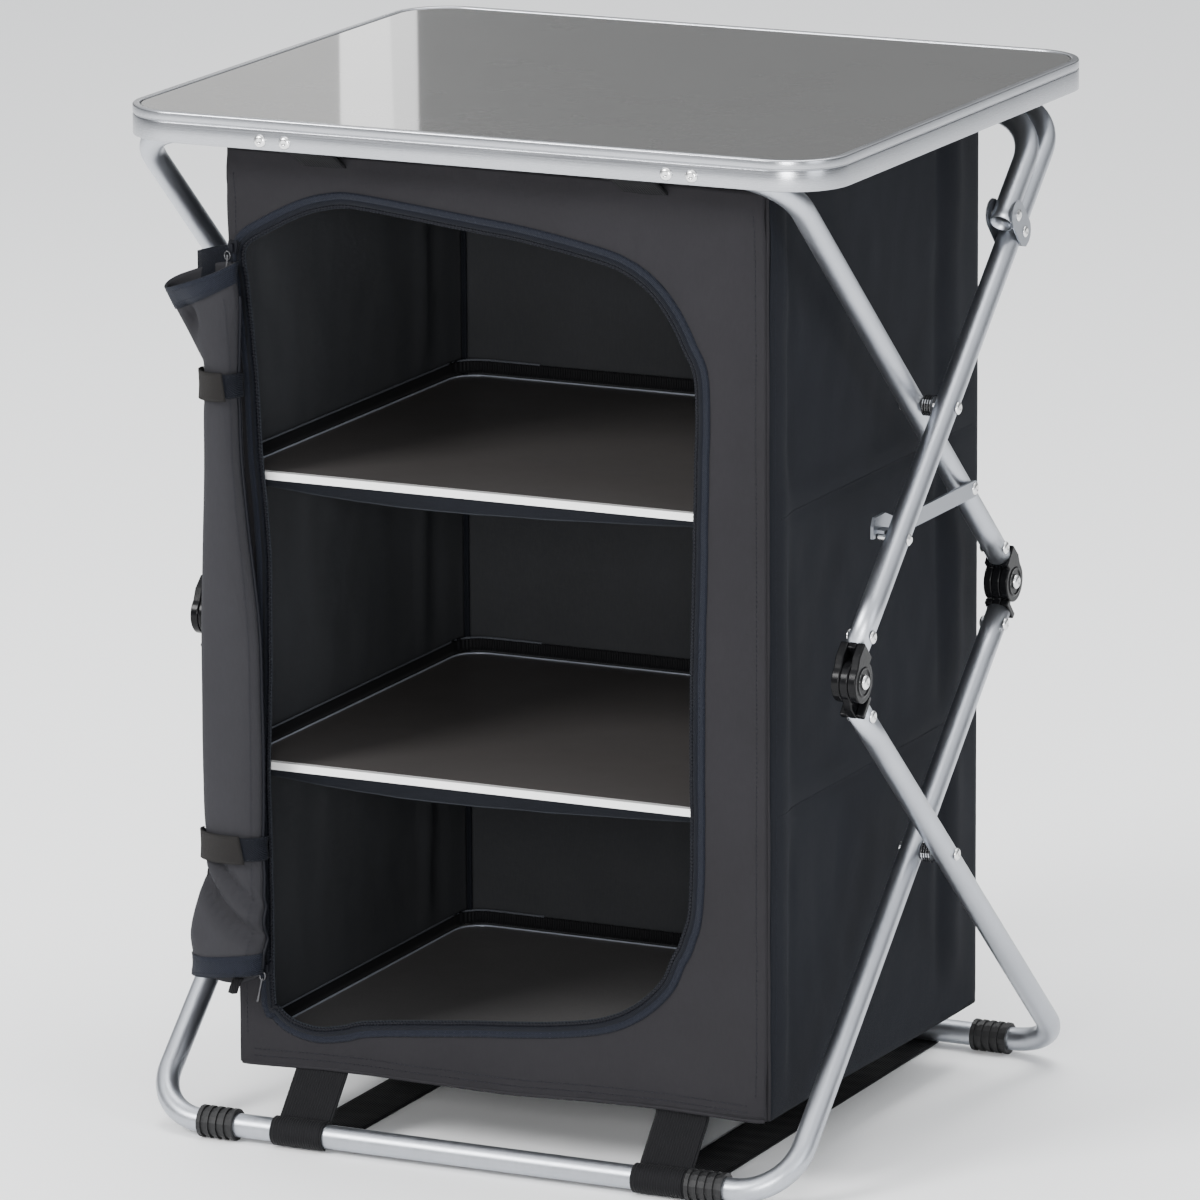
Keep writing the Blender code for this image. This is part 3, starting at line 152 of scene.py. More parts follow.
def make_light():
    """A studio that is brighter above than below, with area lights of its own."""
    world = bpy.data.worlds.new("studio")
    world.use_nodes = True
    tree = world.node_tree
    background = tree.nodes["Background"]
    height = split_axes(tree, "Generated")["Z"]
    tree.links.new(mapped(tree, height, 0.22, 1.50, 0.20, 0.70), background.inputs["Strength"])
    background.inputs["Color"].default_value = (0.96, 0.98, 1.0, 1)
    bpy.context.scene.world = world
    for light in LIGHTS:
        area_light(*light)


def make_floor():
    """A pale floor that reaches well past the picture."""
    rows = [[(x, y, 0.0) for x in np.linspace(-30, 30, 9)] for y in np.linspace(-30, 30, 9)]
    finish, tree, shader = new_material("pale_floor", (0.93, 0.93, 0.93), 0.85)
    cloud = noise_value(tree, 0.8, 2.0)
    shades = colour_between(tree, cloud, (0.92, 0.92, 0.92), (0.94, 0.94, 0.94))
    tree.links.new(shades, shader.inputs["Base Color"])
    grid_piece("studio_floor", rows, finish)


# Materials

def new_material(name, colour, roughness, metallic=0.0, **sockets):
    made = bpy.data.materials.new(name)
    made.use_nodes = True
    shader = made.node_tree.nodes["Principled BSDF"]
    shader.inputs["Base Color"].default_value = (*colour, 1)
    shader.inputs["Roughness"].default_value = roughness
    shader.inputs["Metallic"].default_value = metallic
    for socket, value in sockets.items():
        shader.inputs[socket.replace("_", " ")].default_value = value
    return made, made.node_tree, shader


def split_axes(tree, kind="Object"):
    """The X, Y and Z of a texture coordinate."""
    where = tree.nodes.new("ShaderNodeTexCoord")
    split = tree.nodes.new("ShaderNodeSeparateXYZ")
    tree.links.new(where.outputs[kind], split.inputs[0])
    return split.outputs


def noise_value(tree, scale, detail, roughness=0.5, stretch=(1, 1, 1)):
    """Noise over the object, made finer by a factor along x, y and z."""
    where = tree.nodes.new("ShaderNodeTexCoord")
    mapping = tree.nodes.new("ShaderNodeMapping")
    mapping.inputs["Scale"].default_value = stretch
    tree.links.new(where.outputs["Object"], mapping.inputs["Vector"])
    made = tree.nodes.new("ShaderNodeTexNoise")
    made.inputs["Scale"].default_value = scale
    made.inputs["Detail"].default_value = detail
    made.inputs["Roughness"].default_value = roughness
    tree.links.new(mapping.outputs["Vector"], made.inputs["Vector"])
    return made.outputs["Fac"]


def math_value(tree, operation, *values):
    made = tree.nodes.new("ShaderNodeMath")
    made.operation = operation
    for socket, value in zip(made.inputs, values):
        if isinstance(value, (int, float)):
            socket.default_value = value
        else:
            tree.links.new(value, socket)
    return made.outputs[0]


def mapped(tree, value, low, high, from_low=0.0, from_high=1.0):
    made = tree.nodes.new("ShaderNodeMapRange")
    made.inputs["From Min"].default_value = from_low
    made.inputs["From Max"].default_value = from_high
    made.inputs["To Min"].default_value = low
    made.inputs["To Max"].default_value = high
    tree.links.new(value, made.inputs["Value"])
    return made.outputs["Result"]


def colour_between(tree, share, first, second):
    made = tree.nodes.new("ShaderNodeMix")
    made.data_type = "RGBA"
    made.inputs["A"].default_value = (*first, 1)
    made.inputs["B"].default_value = (*second, 1)
    tree.links.new(share, made.inputs["Factor"])
    return next(socket for socket in made.outputs if socket.type == "RGBA")


def shaded(tree, shader, share, colour, low, high):
    """Sets the base colour between two multiples of a colour."""
    dark, light = (tuple(min(1.0, part * factor) for part in colour) for factor in (low, high))
    tree.links.new(colour_between(tree, share, dark, light), shader.inputs["Base Color"])


def bump(tree, shader, height, strength, distance, after=None):
    made = tree.nodes.new("ShaderNodeBump")
    made.inputs["Strength"].default_value = strength
    made.inputs["Distance"].default_value = distance
    tree.links.new(height, made.inputs["Height"])
    if after is not None:
        tree.links.new(after, made.inputs["Normal"])
    tree.links.new(made.outputs["Normal"], shader.inputs["Normal"])
    return made.outputs["Normal"]


def metal(name, colour, roughness, grain, spread=0.10, strength=0.10, metallic=1.0):
    """Satin metal with fine drawn lines; grain scales the lines along x, y and z."""
    made, tree, shader = new_material(name, colour, roughness, metallic)
    lines = noise_value(tree, 1.0, 3.0, 0.6, grain)
    cloud = noise_value(tree, 14.0, 3.0)
    share = mapped(tree, math_value(tree, "MULTIPLY", lines, cloud), 0, 1, 0.1, 0.45)
    rough = mapped(tree, lines, roughness - spread / 2, roughness + spread)
    tree.links.new(rough, shader.inputs["Roughness"])
    shaded(tree, shader, share, colour, 0.90, 1.0)
    bump(tree, shader, lines, strength, 0.0002)
    return made


def cloth(name, colour, pitch=0.0011, strength=0.5):
    """Plain woven polyester: warp and weft threads, faint slubs and slow changes of shade."""
    made, tree, shader = new_material(name, colour, 0.80, Sheen_Weight=0.02, Sheen_Roughness=0.40,
                                      Specular_IOR_Level=0.10, Sheen_Tint=(0.75, 0.80, 0.95, 1))
    axes = split_axes(tree)
    per_metre = 2 * math.pi / pitch
    across = math_value(tree, "ADD", axes["X"], axes["Y"])
    warp = math_value(tree, "SINE", math_value(tree, "MULTIPLY", across, per_metre))
    weft = math_value(tree, "SINE", math_value(tree, "MULTIPLY", axes["Z"], per_metre))
    weave = math_value(tree, "MULTIPLY", warp, weft)
    slub = mapped(tree, noise_value(tree, 1.0, 2.0, stretch=(900, 900, 160)), -0.2, 0.2)
    slow = mapped(tree, noise_value(tree, 7.0, 4.0, 0.55), 0.1, 0.9)
    share = math_value(tree, "ADD", mapped(tree, weave, -0.12, 0.12, -1, 1),
                       math_value(tree, "ADD", slub, slow))
    shaded(tree, shader, share, colour, 0.72, 1.28)
    soft = bump(tree, shader, noise_value(tree, 38.0, 4.0, 0.6), 0.22, 0.004)
    bump(tree, shader, weave, strength, 0.00022, soft)
    return made


def ribbed(name, colour, pitch, axes_used, roughness=0.7):
    """Woven tape or webbing with ribs across one axis, or across the sum of two."""
    made, tree, shader = new_material(name, colour, roughness, Sheen_Weight=0.02, Sheen_Roughness=0.4,
                                      Specular_IOR_Level=0.12)
    axes = split_axes(tree)
    along = axes[axes_used[0]]
    for axis in axes_used[1:]:
        along = math_value(tree, "ADD", along, axes[axis])
    rib = math_value(tree, "SINE", math_value(tree, "MULTIPLY", along, 2 * math.pi / pitch))
    fuzz = noise_value(tree, 900.0, 2.0)
    share = math_value(tree, "ADD", mapped(tree, rib, 0.1, 0.6, -1, 1), mapped(tree, fuzz, -0.2, 0.5))
    shaded(tree, shader, share, colour, 0.65, 1.45)
    first = bump(tree, shader, rib, 0.7, 0.0004)
    bump(tree, shader, fuzz, 0.35, 0.0003, first)
    return made


def moulded(name, colour, roughness, grain=260.0, specular=0.5):
    """Moulded plastic or rubber with a fine grain and rubbed patches."""
    made, tree, shader = new_material(name, colour, roughness, Specular_IOR_Level=specular)
    fine = noise_value(tree, grain, 3.0, 0.6)
    worn = noise_value(tree, 45.0, 4.0, 0.65)
    rough = mapped(tree, worn, roughness * 0.75, roughness * 1.35, 0.3, 0.7)
    tree.links.new(rough, shader.inputs["Roughness"])
    shaded(tree, shader, worn, colour, 0.8, 1.5)
    bump(tree, shader, fine, 0.18, 0.0003)
    return made


def laminate(name, colour, roughness, speckle, coat):
    """Board laminate: fine light and dark speckles under a clear face."""
    made, tree, shader = new_material(name, colour, roughness, Coat_Weight=coat, Coat_Roughness=0.035,
                                      Specular_IOR_Level=0.5)
    grains = noise_value(tree, 1100.0, 2.0, 0.7)
    cloud = noise_value(tree, 5.0, 3.0)
    share = math_value(tree, "ADD", mapped(tree, grains, 0.5 - speckle, 0.5 + speckle, 0.3, 0.7),
                       mapped(tree, cloud, -0.1, 0.1))
    shaded(tree, shader, share, colour, 0.72, 1.28)
    smudge = noise_value(tree, 11.0, 5.0, 0.6)
    rough = mapped(tree, smudge, roughness * 0.92, roughness * 1.08, 0.3, 0.7)
    tree.links.new(rough, shader.inputs["Roughness"])
    bump(tree, shader, grains, 0.03, 0.0001)
    return made


TUBE = metal("satin_tube", (0.47, 0.49, 0.53), 0.36, (260, 34, 34), 0.10, 0.08)
RIM = metal("brushed_rim", (0.41, 0.42, 0.445), 0.24, (9, 9, 1500), 0.12, 0.10)
PLATE = metal("stamped_plate", (0.30, 0.315, 0.345), 0.36, (120, 120, 120), 0.12, 0.10)
STEEL = metal("zinc_rivet", (0.82, 0.82, 0.82), 0.20, (500, 500, 500), 0.12, 0.12)
SHELF_TRIM = metal("shelf_trim_metal", (0.93, 0.93, 0.92), 0.34, (12, 12, 1500), 0.10, 0.08, 0.45)
SIDE_TRIM = metal("shelf_side_metal", (0.42, 0.45, 0.52), 0.34, (12, 12, 1500), 0.10, 0.08, 0.45)
PULL = metal("slider_pull_metal", (0.10, 0.10, 0.105), 0.34, (500, 500, 500), 0.10, 0.10)
BOARD = laminate("table_laminate", (0.036, 0.0345, 0.032), 0.45, 0.42, 1.0)
SHELF = laminate("shelf_laminate", (0.060, 0.055, 0.053), 0.36, 0.30, 0.0)
# The shelf laminate made lighter for the lower shelf, as painted light where little light reaches the
# cabinet's floor
LOW_SHELF_PAINTED_LIGHT = laminate("lower_shelf_laminate_painted_light", (0.095, 0.092, 0.092), 0.40, 0.40, 0.0)
PLASTIC = moulded("black_plastic", (0.0040, 0.0040, 0.0045), 0.22, specular=0.12)
RUBBER = moulded("black_rubber", (0.008, 0.008, 0.0085), 0.50, 420.0, 0.30)
COIL = moulded("zip_coil", (0.0035, 0.0038, 0.0058), 0.55, 500.0, 0.12)
CHARCOAL = cloth("charcoal_polyester", (0.0165, 0.0158, 0.0178))
SIDE_CLOTH = cloth("side_polyester", (0.0064, 0.0073, 0.0100))
# Inner faces of the walls: the same cloth made lighter, as painted light for the dim inside of the cabinet
INNER_CLOTH_PAINTED_LIGHT = cloth("inside_polyester_painted_light", (0.0300, 0.0310, 0.0335))
ROLL_CLOTH = cloth("door_polyester", (0.0225, 0.0222, 0.0250), strength=0.6)
PIPING = cloth("piping_polyester", (0.0165, 0.0185, 0.0225), 0.0008)
WALL_PIPING = cloth("wall_piping_polyester", (0.075, 0.080, 0.092), 0.0008)
TAPE = ribbed("navy_tape", (0.0088, 0.0105, 0.0165), 0.0017, "XZ")
DARK_TAPE = ribbed("dark_navy_tape", (0.0046, 0.0054, 0.0084), 0.0017, "XZ")
WEBBING = ribbed("black_webbing", (0.0055, 0.0055, 0.0064), 0.0022, "X")
THREAD = ribbed("navy_thread", (0.0105, 0.0120, 0.0180), 0.0008, "Z", 0.55)
HOOK_PATCH = ribbed("hook_patch", (0.0135, 0.0126, 0.0122), 0.0013, "XZ", 0.85)

# The first part of a node's name that is found here gives its finish
NODE_FINISHES = (
    # The lower shelf takes the lighter laminate, painted light for its dim place
    ("table_board", BOARD), ("table_rim", RIM), ("shelf_edge", SHELF_TRIM), ("lower_shelf", LOW_SHELF_PAINTED_LIGHT),
    ("_shelf", SHELF), ("knuckle_pin", STEEL), ("knuckle", PLASTIC), ("table_clip", PLASTIC),
    ("foot_grip", RUBBER), ("cross_pivot", STEEL), ("rivet", STEEL), ("catch_pin", STEEL),
    ("bracket", PLATE), ("latch", PLATE), ("frame", TUBE), ("stay", TUBE))
SOFTENED_NODES = ("latch", "bracket", "clip", "shelf_edge", "grip")
EDGE_RADIUS = 0.0004


def dress_cad_nodes():
    for name, node in nodes.items():
        for stem, finish in NODE_FINISHES:
            if stem in name:
                node.material_slots[0].material = finish
                break
        if any(stem in name for stem in SOFTENED_NODES):
            soften(node, EDGE_RADIUS)


# Mesh helpers

def linked(name, mesh, finish):
    mesh.materials.append(finish)
    made = bpy.data.objects.new(name, mesh)
    bpy.context.scene.collection.objects.link(made)
    return made


def piece(name, points, faces, finish, smooth=True):
    mesh = bpy.data.meshes.new(name)
    mesh.from_pydata([tuple(p) for p in points], [], faces)
    mesh.update()
    if smooth:
        mesh.shade_smooth()
    return linked(name, mesh, finish)


def prism(work, outline, along):
    """Adds a closed solid to a bmesh: the outline, the same pushed along a vector, and the sides between."""
    near = [work.verts.new(point) for point in outline]
    far = [work.verts.new(Vector(point) + Vector(along)) for point in outline]
    work.faces.new(near)
    work.faces.new(far)
    for k in range(len(outline)):
        work.faces.new((near[k - 1], near[k], far[k], far[k - 1]))


def solid_piece(name, work, finish):
    """A piece made of a bmesh's solids."""
    bmesh.ops.recalc_face_normals(work, faces=work.faces)
    mesh = bpy.data.meshes.new(name)
    work.to_mesh(mesh)
    work.free()
    return linked(name, mesh, finish)


def grid_faces(rows, columns, round_rows, round_columns):
    faces = []
    for row in range(rows if round_rows else rows - 1):
        below, above = row * columns, (row + 1) % rows * columns
        for column in range(columns if round_columns else columns - 1):
            after = (column + 1) % columns
            faces.append((below + column, below + after, above + after, above + column))
    return faces


def grid_piece(name, rows, finish, round_rows=False, round_columns=False, thickness=0.0):
    """A sheet through rows of points, closed along or across where it is round."""
    faces = grid_faces(len(rows), len(rows[0]), round_rows, round_columns)
    made = piece(name, [point for row in rows for point in row], faces, finish)
    if thickness:
        thicken(made, thickness)
    return made


def surface(columns, rows, point):
    """Rows of points of a sheet; point takes the shares across and along it, from 0 to 1."""
    return [[point(column / columns, row / rows) for column in range(columns + 1)]
            for row in range(rows + 1)]


def thicken(item, thickness, offset=0.0, inner_finish=None):
    """Gives a sheet its thickness; a second finish, if given, goes on the side away from its normals."""
    wall = item.modifiers.new("thickness", "SOLIDIFY")
    if inner_finish is not None:
        item.data.materials.append(inner_finish)
        wall.material_offset = 1
    wall.thickness = thickness
    wall.offset = offset
    wall.use_even_offset = False


def soften(item, width, segments=2):
    edge = item.modifiers.new("soft_edges", "BEVEL")
    edge.width = width
    edge.segments = segments
    edge.limit_method = "ANGLE"
    edge.angle_limit = math.radians(35)


def steps(low, high, count):
    return [low + (high - low) * k / count for k in range(count + 1)]


def circle(count):
    """Cosine and sine of even turns round a circle."""
    angles = (2 * math.pi * k / count for k in range(count))
    return [(math.cos(angle), math.sin(angle)) for angle in angles]


def arc(centre, radius, start, end, count):
    """Points of an arc from one angle to another, in degrees, both ends included."""
    return [(centre[0] + radius * math.cos(angle), centre[1] + radius * math.sin(angle))
            for angle in np.radians(np.linspace(start, end, count))]


def smooth_loop(points, count):
    """A closed curve through the points, at even distances."""
    corners = np.array(points, float)
    dense = []
    for index in range(len(corners)):
        before, start, end, after = (corners[(index + k) % len(corners)] for k in (-1, 0, 1, 2))
        bend = 2 * before - 5 * start + 4 * end - after
        twist = 3 * start - before - 3 * end + after
        for t in np.linspace(0, 1, 24, endpoint=False):
            dense.append(0.5 * (2 * start + (end - before) * t + bend * t * t + twist * t ** 3))
    return evenly(dense, count, True)


def evenly(points, count, closed=False):
    """Points at even distances along a path."""
    path = np.array(points, float)
    if closed:
        path = np.vstack([path, path[:1]])
    at = np.concatenate([[0], np.cumsum(np.linalg.norm(np.diff(path, axis=0), axis=1))])
    wanted = np.linspace(0, at[-1], count, endpoint=not closed)
    return np.stack([np.interp(wanted, at, path[:, axis]) for axis in range(path.shape[1])], axis=1)


def length_of(points):
    return float(np.linalg.norm(np.diff(np.array(points, float), axis=0), axis=1).sum())


def sweep(name, path, radius, finish, sides=8, closed=False, waves=None):
    """A round cord along a path; waves gives a share of the radius at each point."""
    places = np.array(path, float)
    last = len(places) - 1
    rows = []
    for index, place in enumerate(places):
        before = places[index - 1] if closed or index > 0 else place
        after = places[(index + 1) % len(places)] if closed or index < last else place
        tangent = Vector(after - before).normalized()
        side = tangent.cross(Vector((0, 1, 0)))
        if side.length < 0.2:
            side = tangent.cross(Vector((1, 0, 0)))
        side.normalize()
        up = side.cross(tangent)
        size = radius * (waves[index] if waves is not None else 1.0)
        rows.append([Vector(place) + (side * cos + up * sin) * size for cos, sin in circle(sides)])
    return grid_piece(name, rows, finish, round_rows=closed, round_columns=True)


def turned(name, profile, centre, sides):
    """A plastic piece turned about an axis along X; its profile lists x and radius."""
    rows = [[(x, centre[0] + radius * cos, centre[1] + radius * sin) for cos, sin in circle(sides)]
            for x, radius in profile]
    return grid_piece(name, rows, PLASTIC, round_columns=True)


def wobble(x, y, z, size, seed):
    return noise.noise(Vector((x / size + seed, y / size, z / size)))


def smoothstep(low, high, value):
    t = min(1.0, max(0.0, (value - low) / (high - low)))
    return t * t * (3 - 2 * t)


def bell(value, centre, width):
    return math.exp(-((value - centre) / width) ** 2)


def swell(value, shape):
    """A swelling given as its centre, width and height."""
    centre, width, height = shape
    return height * bell(value, centre, width)


# Bodies and stitches

# Pieces that go on the cabinet's body
CABINET_PIECES = []


def stand_in(item, replaced):
    """Hides the frame's node that a piece replaces, when there is one."""
    if replaced:
        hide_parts(replaced)
    return item


def on_body(item, body, replaced=None):
    stand_in(item, replaced)
    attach(item, body)
    return item


def on_cabinet(item, replaced=None):
    """A cloth piece of the cabinet, which goes on the cabinet's body at the end."""
    CABINET_PIECES.append(stand_in(item, replaced))
    return item


def cord(name, path, radius, finish, **options):
    on_cabinet(sweep(name, path, radius, finish, **options))


# Size of a stitch, the distance from one to the next and the corners of its faces
STITCH_LENGTH = 0.0026
STITCH_PITCH = 0.0038
STITCH_WIDTH = 0.0006
STITCH_HEIGHT = 0.0004
STITCH_FACES = ((0, 1, 5), (0, 5, 3), (1, 4, 5), (3, 5, 4), (1, 2, 6), (1, 6, 4), (3, 4, 6), (3, 6, 2))


def stitches(name, path, outward):
    """A row of thread stitches along a path, raised along the outward direction."""
    count = max(2, int(length_of(path) / STITCH_PITCH))
    even = evenly(path, count + 1)
    out = Vector(outward).normalized()
    points, faces = [], []
    for start, following in zip(map(Vector, even[:-1]), map(Vector, even[1:])):
        end = start + (following - start) * (STITCH_LENGTH / STITCH_PITCH)
        side = (end - start).normalized().cross(out) * STITCH_WIDTH / 2
        middle = (start + end) / 2
        raised = out * STITCH_HEIGHT
        faces += [tuple(len(points) + corner for corner in face) for face in STITCH_FACES]
        points += [start, middle - side, end, middle + side, middle + raised,
                   start.lerp(middle, 0.3) + raised * 0.8, end.lerp(middle, 0.3) + raised * 0.8]
    on_cabinet(piece(name, points, faces, THREAD, smooth=False))


# Frame, rim and rivets

TUBE_WALL = 0.0012
# The x of a tube's legs, the y and z of its bar, the legs' direction and length, and the bend radius
Tube = namedtuple("Tube", "body left right bar run length bend")
TUBES = {
    "front_top_frame":
        Tube("front_top", -OUTER_LEG, INNER_LEG, FRONT_TOP_BAR, (RUN_Y, -RUN_Z), LEG_LENGTH, BEND),
    "front_foot_frame":
        Tube("front_foot", -OUTER_LEG, INNER_LEG, FRONT_FLOOR_BAR, (RUN_Y, RUN_Z), LEG_LENGTH, BEND),
    "rear_top_frame":
        Tube("rear_top", -INNER_LEG, OUTER_LEG, REAR_TOP_BAR, (-RUN_Y, -RUN_Z), REAR_TOP_LENGTH, BEND),
    "rear_foot_frame":
        Tube("rear_foot", -INNER_LEG, OUTER_LEG, REAR_FLOOR_BAR, (-RUN_Y, RUN_Z), LEG_LENGTH, BEND),
    "table_stay":
        Tube("stay", -INNER_LEG, OUTER_LEG, STAY_BAR, (-RUN_Y, -RUN_Z), STAY_LENGTH, STAY_BEND),
}


def bent_tube(node):
    """A smooth U tube in place of a faceted one."""
    body, left, right, bar, run, length, bend = TUBES[node]
    heights = [length - length * k / 12 for k in range(12) if length - length * k / 12 > bend + 0.01]
    flat = [(left, height) for height in heights]
    flat += arc((left + bend, bend), bend, 180, 270, 15)
    flat += arc((right - bend, bend), bend, 270, 360, 15)
    flat += [(right, height) for height in reversed(heights)]
    across = Vector((1, 0, 0))
    down = Vector((0, *run))
    normal = across.cross(down)
    rows = []
    for index, (u, v) in enumerate(flat):
        before = flat[max(0, index - 1)]
        after = flat[min(len(flat) - 1, index + 1)]
        tangent = (across * (after[0] - before[0]) + down * (after[1] - before[1])).normalized()
        side = normal.cross(tangent)
        centre = Vector((0, *bar)) + across * u + down * v
        rows.append([centre + (normal * cos + side * sin) * TUBE_RADIUS for cos, sin in circle(36)])
    made = grid_piece(node + "_smooth", rows, TUBE, round_columns=True)
    made.data.flip_normals()
    wall = made.modifiers.new("wall", "SOLIDIFY")
    wall.thickness = TUBE_WALL
    wall.offset = -1
    on_body(made, body, node)


TABLE_HALF_WIDTH = 0.300
TABLE_HALF_DEPTH = 0.265
TABLE_CORNER = 0.048
# Inset and height of the rim's section: outer wall with its groove, lip, and the ledge under the board
RIM_PROFILE = (
    (0.0007, 0.7960), (0.0002, 0.7962), (0.0, 0.7967), (0.0, 0.8112), (0.0002, 0.8118), (0.0008, 0.8120),
    (0.0008, 0.8129), (0.0002, 0.8132), (0.0, 0.8138), (0.0, 0.8188), (0.0002, 0.8194), (0.0007, 0.8199),
    (0.0014, 0.8200), (0.0050, 0.8200), (0.0056, 0.8198), (0.0060, 0.8193), (0.0061, 0.8186),
    (0.0060, 0.8180), (0.0016, 0.8178), (0.0015, 0.8140), (0.0080, 0.8139), (0.0080, 0.8124),
    (0.0015, 0.8122), (0.0014, 0.7964), (0.0012, 0.7960))


def rim_outline(inset):
    radius = TABLE_CORNER - inset
    points = []
    for quarter, (x, y) in enumerate(((1, 1), (-1, 1), (-1, -1), (1, -1))):
        centre = (x * (TABLE_HALF_WIDTH - TABLE_CORNER), y * (TABLE_HALF_DEPTH - TABLE_CORNER))
        points += arc(centre, radius, quarter * 90, quarter * 90 + 90, 17)
    return points


def table_rim():
    rows = [[(x, y, z) for x, y in rim_outline(inset)] for inset, z in RIM_PROFILE]
    made = grid_piece("table_rim_smooth", rows, RIM, round_rows=True, round_columns=True)
    made.data.set_sharp_from_angle(angle=math.radians(50))
    on_body(made, "table", "table_rim")


DOME_RADIUS = 0.0051
DOME_HEIGHT = 0.0021
# Shares of the radius and of the height, up to the dimple in the middle
DOME_SHAPE = ((1.0, -0.10), (1.0, 0.22), (0.90, 0.52), (0.66, 0.84), (0.34, 1.0), (0.30, 0.93))
DIMPLE = 0.90
DOME_SIDES = 20


def domes(name, spots, body, radius=DOME_RADIUS, height=DOME_HEIGHT):
    """Rivet heads: each spot is a centre on a face and the direction away from it."""
    points, faces = [], []
    for centre, direction in spots:
        out = Vector(direction).normalized()
        side = out.orthogonal().normalized()
        up = out.cross(side)
        base = len(points)
        for share, rise in DOME_SHAPE:
            points += [Vector(centre) + (side * cos + up * sin) * radius * share + out * height * rise
                       for cos, sin in circle(DOME_SIDES)]
        faces += [tuple(base + corner for corner in face)
                  for face in grid_faces(len(DOME_SHAPE), DOME_SIDES, False, True)]
        top = len(points)
        last = top - DOME_SIDES
        points.append(Vector(centre) + out * height * DIMPLE)
        faces += [(last + k, last + (k + 1) % DOME_SIDES, top) for k in range(DOME_SIDES)]
    on_body(piece(name, points, faces, STEEL), body)


def leg_point(tube, distance):
    """The y and z of a place on a tube's legs, at a distance from its bar."""
    return tube.bar[0] + tube.run[0] * distance, tube.bar[1] + tube.run[1] * distance


def heads(xs, half, y, z):
    """Spots on both faces of what stands at each x, half its thickness away."""
    return [((x + out * half, y, z), (out, 0, 0)) for x in xs for out in (-1, 1)]


# Rivets: how far the faces under them lie from the middle of a leg, a crossing, an elbow and a bracket
LEG_FACE = 0.0097
CROSS_FACE = 0.0240
KNUCKLE_FACE = 0.0112
BRACKET_FACE = 0.0115
LATCH_FACES = ((-0.0098, -1), (0.0123, 1))
LEG_RIVET_FROM_END = 0.012
RIM_RIVET_XS = (-0.1706, -0.1496, 0.1712, 0.1922)
LATCH_PIVOT = (0.08518, 0.5008)
# Bracket rivets: the one in the leg and the one that the stay turns on
BRACKET_SPOTS = ((0.11954, 0.7016), (0.10541, 0.71714))
SPACER_X = 0.2745
SPACER_HALF = 0.0041
SPACER_RIDGES = (0.0083, 0.0076)


def rivets():
    domes("rim_rivets", [((x, -0.2651, 0.803), (0, -1, 0)) for x in RIM_RIVET_XS], "table")
    for node in ("front_top_frame", "front_foot_frame", "rear_top_frame", "rear_foot_frame"):
        tube = TUBES[node]
        legs = (tube.left, tube.right)
        spots = heads(legs, LEG_FACE, *leg_point(tube, tube.length - LEG_RIVET_FROM_END))
        if tube.body == "front_top":
            spots += [((x + shift, *LATCH_PIVOT), (out, 0, 0))
                      for shift, out in LATCH_FACES for x in legs]
        domes(f"leg_rivets_{tube.body}", spots, tube.body)
    for name, body, z in (("upper", "front_top", FRONT_TOP_BAR[1] - CROSS_RISE),
                          ("lower", "front_foot", FRONT_FLOOR_BAR[1] + CROSS_RISE)):
        domes(f"cross_rivets_{name}", heads((-SPACER_X, SPACER_X), CROSS_FACE, CROSS_Y, z), body)
        for side, label in SIDES:
            middle = side * SPACER_X
            profile = [(x, SPACER_RIDGES[k % 2])
                       for k, x in enumerate(steps(middle - SPACER_HALF, middle + SPACER_HALF, 8))]
            on_body(turned(f"cross_spacer_{name}_{label}", profile, (CROSS_Y, z), 28), body)
    spots = heads((-OUTER_LEG, INNER_LEG), KNUCKLE_FACE, *REAR_PIN)
    domes("knuckle_rivets_rear", spots, "front_top", 0.0058, 0.0026)
    spots = heads((-INNER_LEG, OUTER_LEG), KNUCKLE_FACE, *FRONT_PIN)
    domes("knuckle_rivets_front", spots, "rear_top", 0.0058, 0.0026)
    spots = [((x + out * BRACKET_FACE, y, z), (out, 0, 0))
             for x in (-INNER_LEG, OUTER_LEG) for out in (-1, 1) for y, z in BRACKET_SPOTS]
    domes("bracket_rivets", spots, "rear_top", 0.0045, 0.0016)


# Knuckles

# Radius and thickness of a plate, the leg's offset from the pin, the neck's reach and a gap
KNUCKLE_RADIUS = 0.0165
KNUCKLE_PLATE = 0.0066
KNUCKLE_OFFSET = 0.011
KNUCKLE_NECK = 0.022
KNUCKLE_GAP = 0.0003
# Radius and rise of the raised ring on a knuckle's face
KNUCKLE_RING = ((0.0094, 0.0), (0.0100, 0.0008), (0.0116, 0.0008), (0.0122, 0.0))


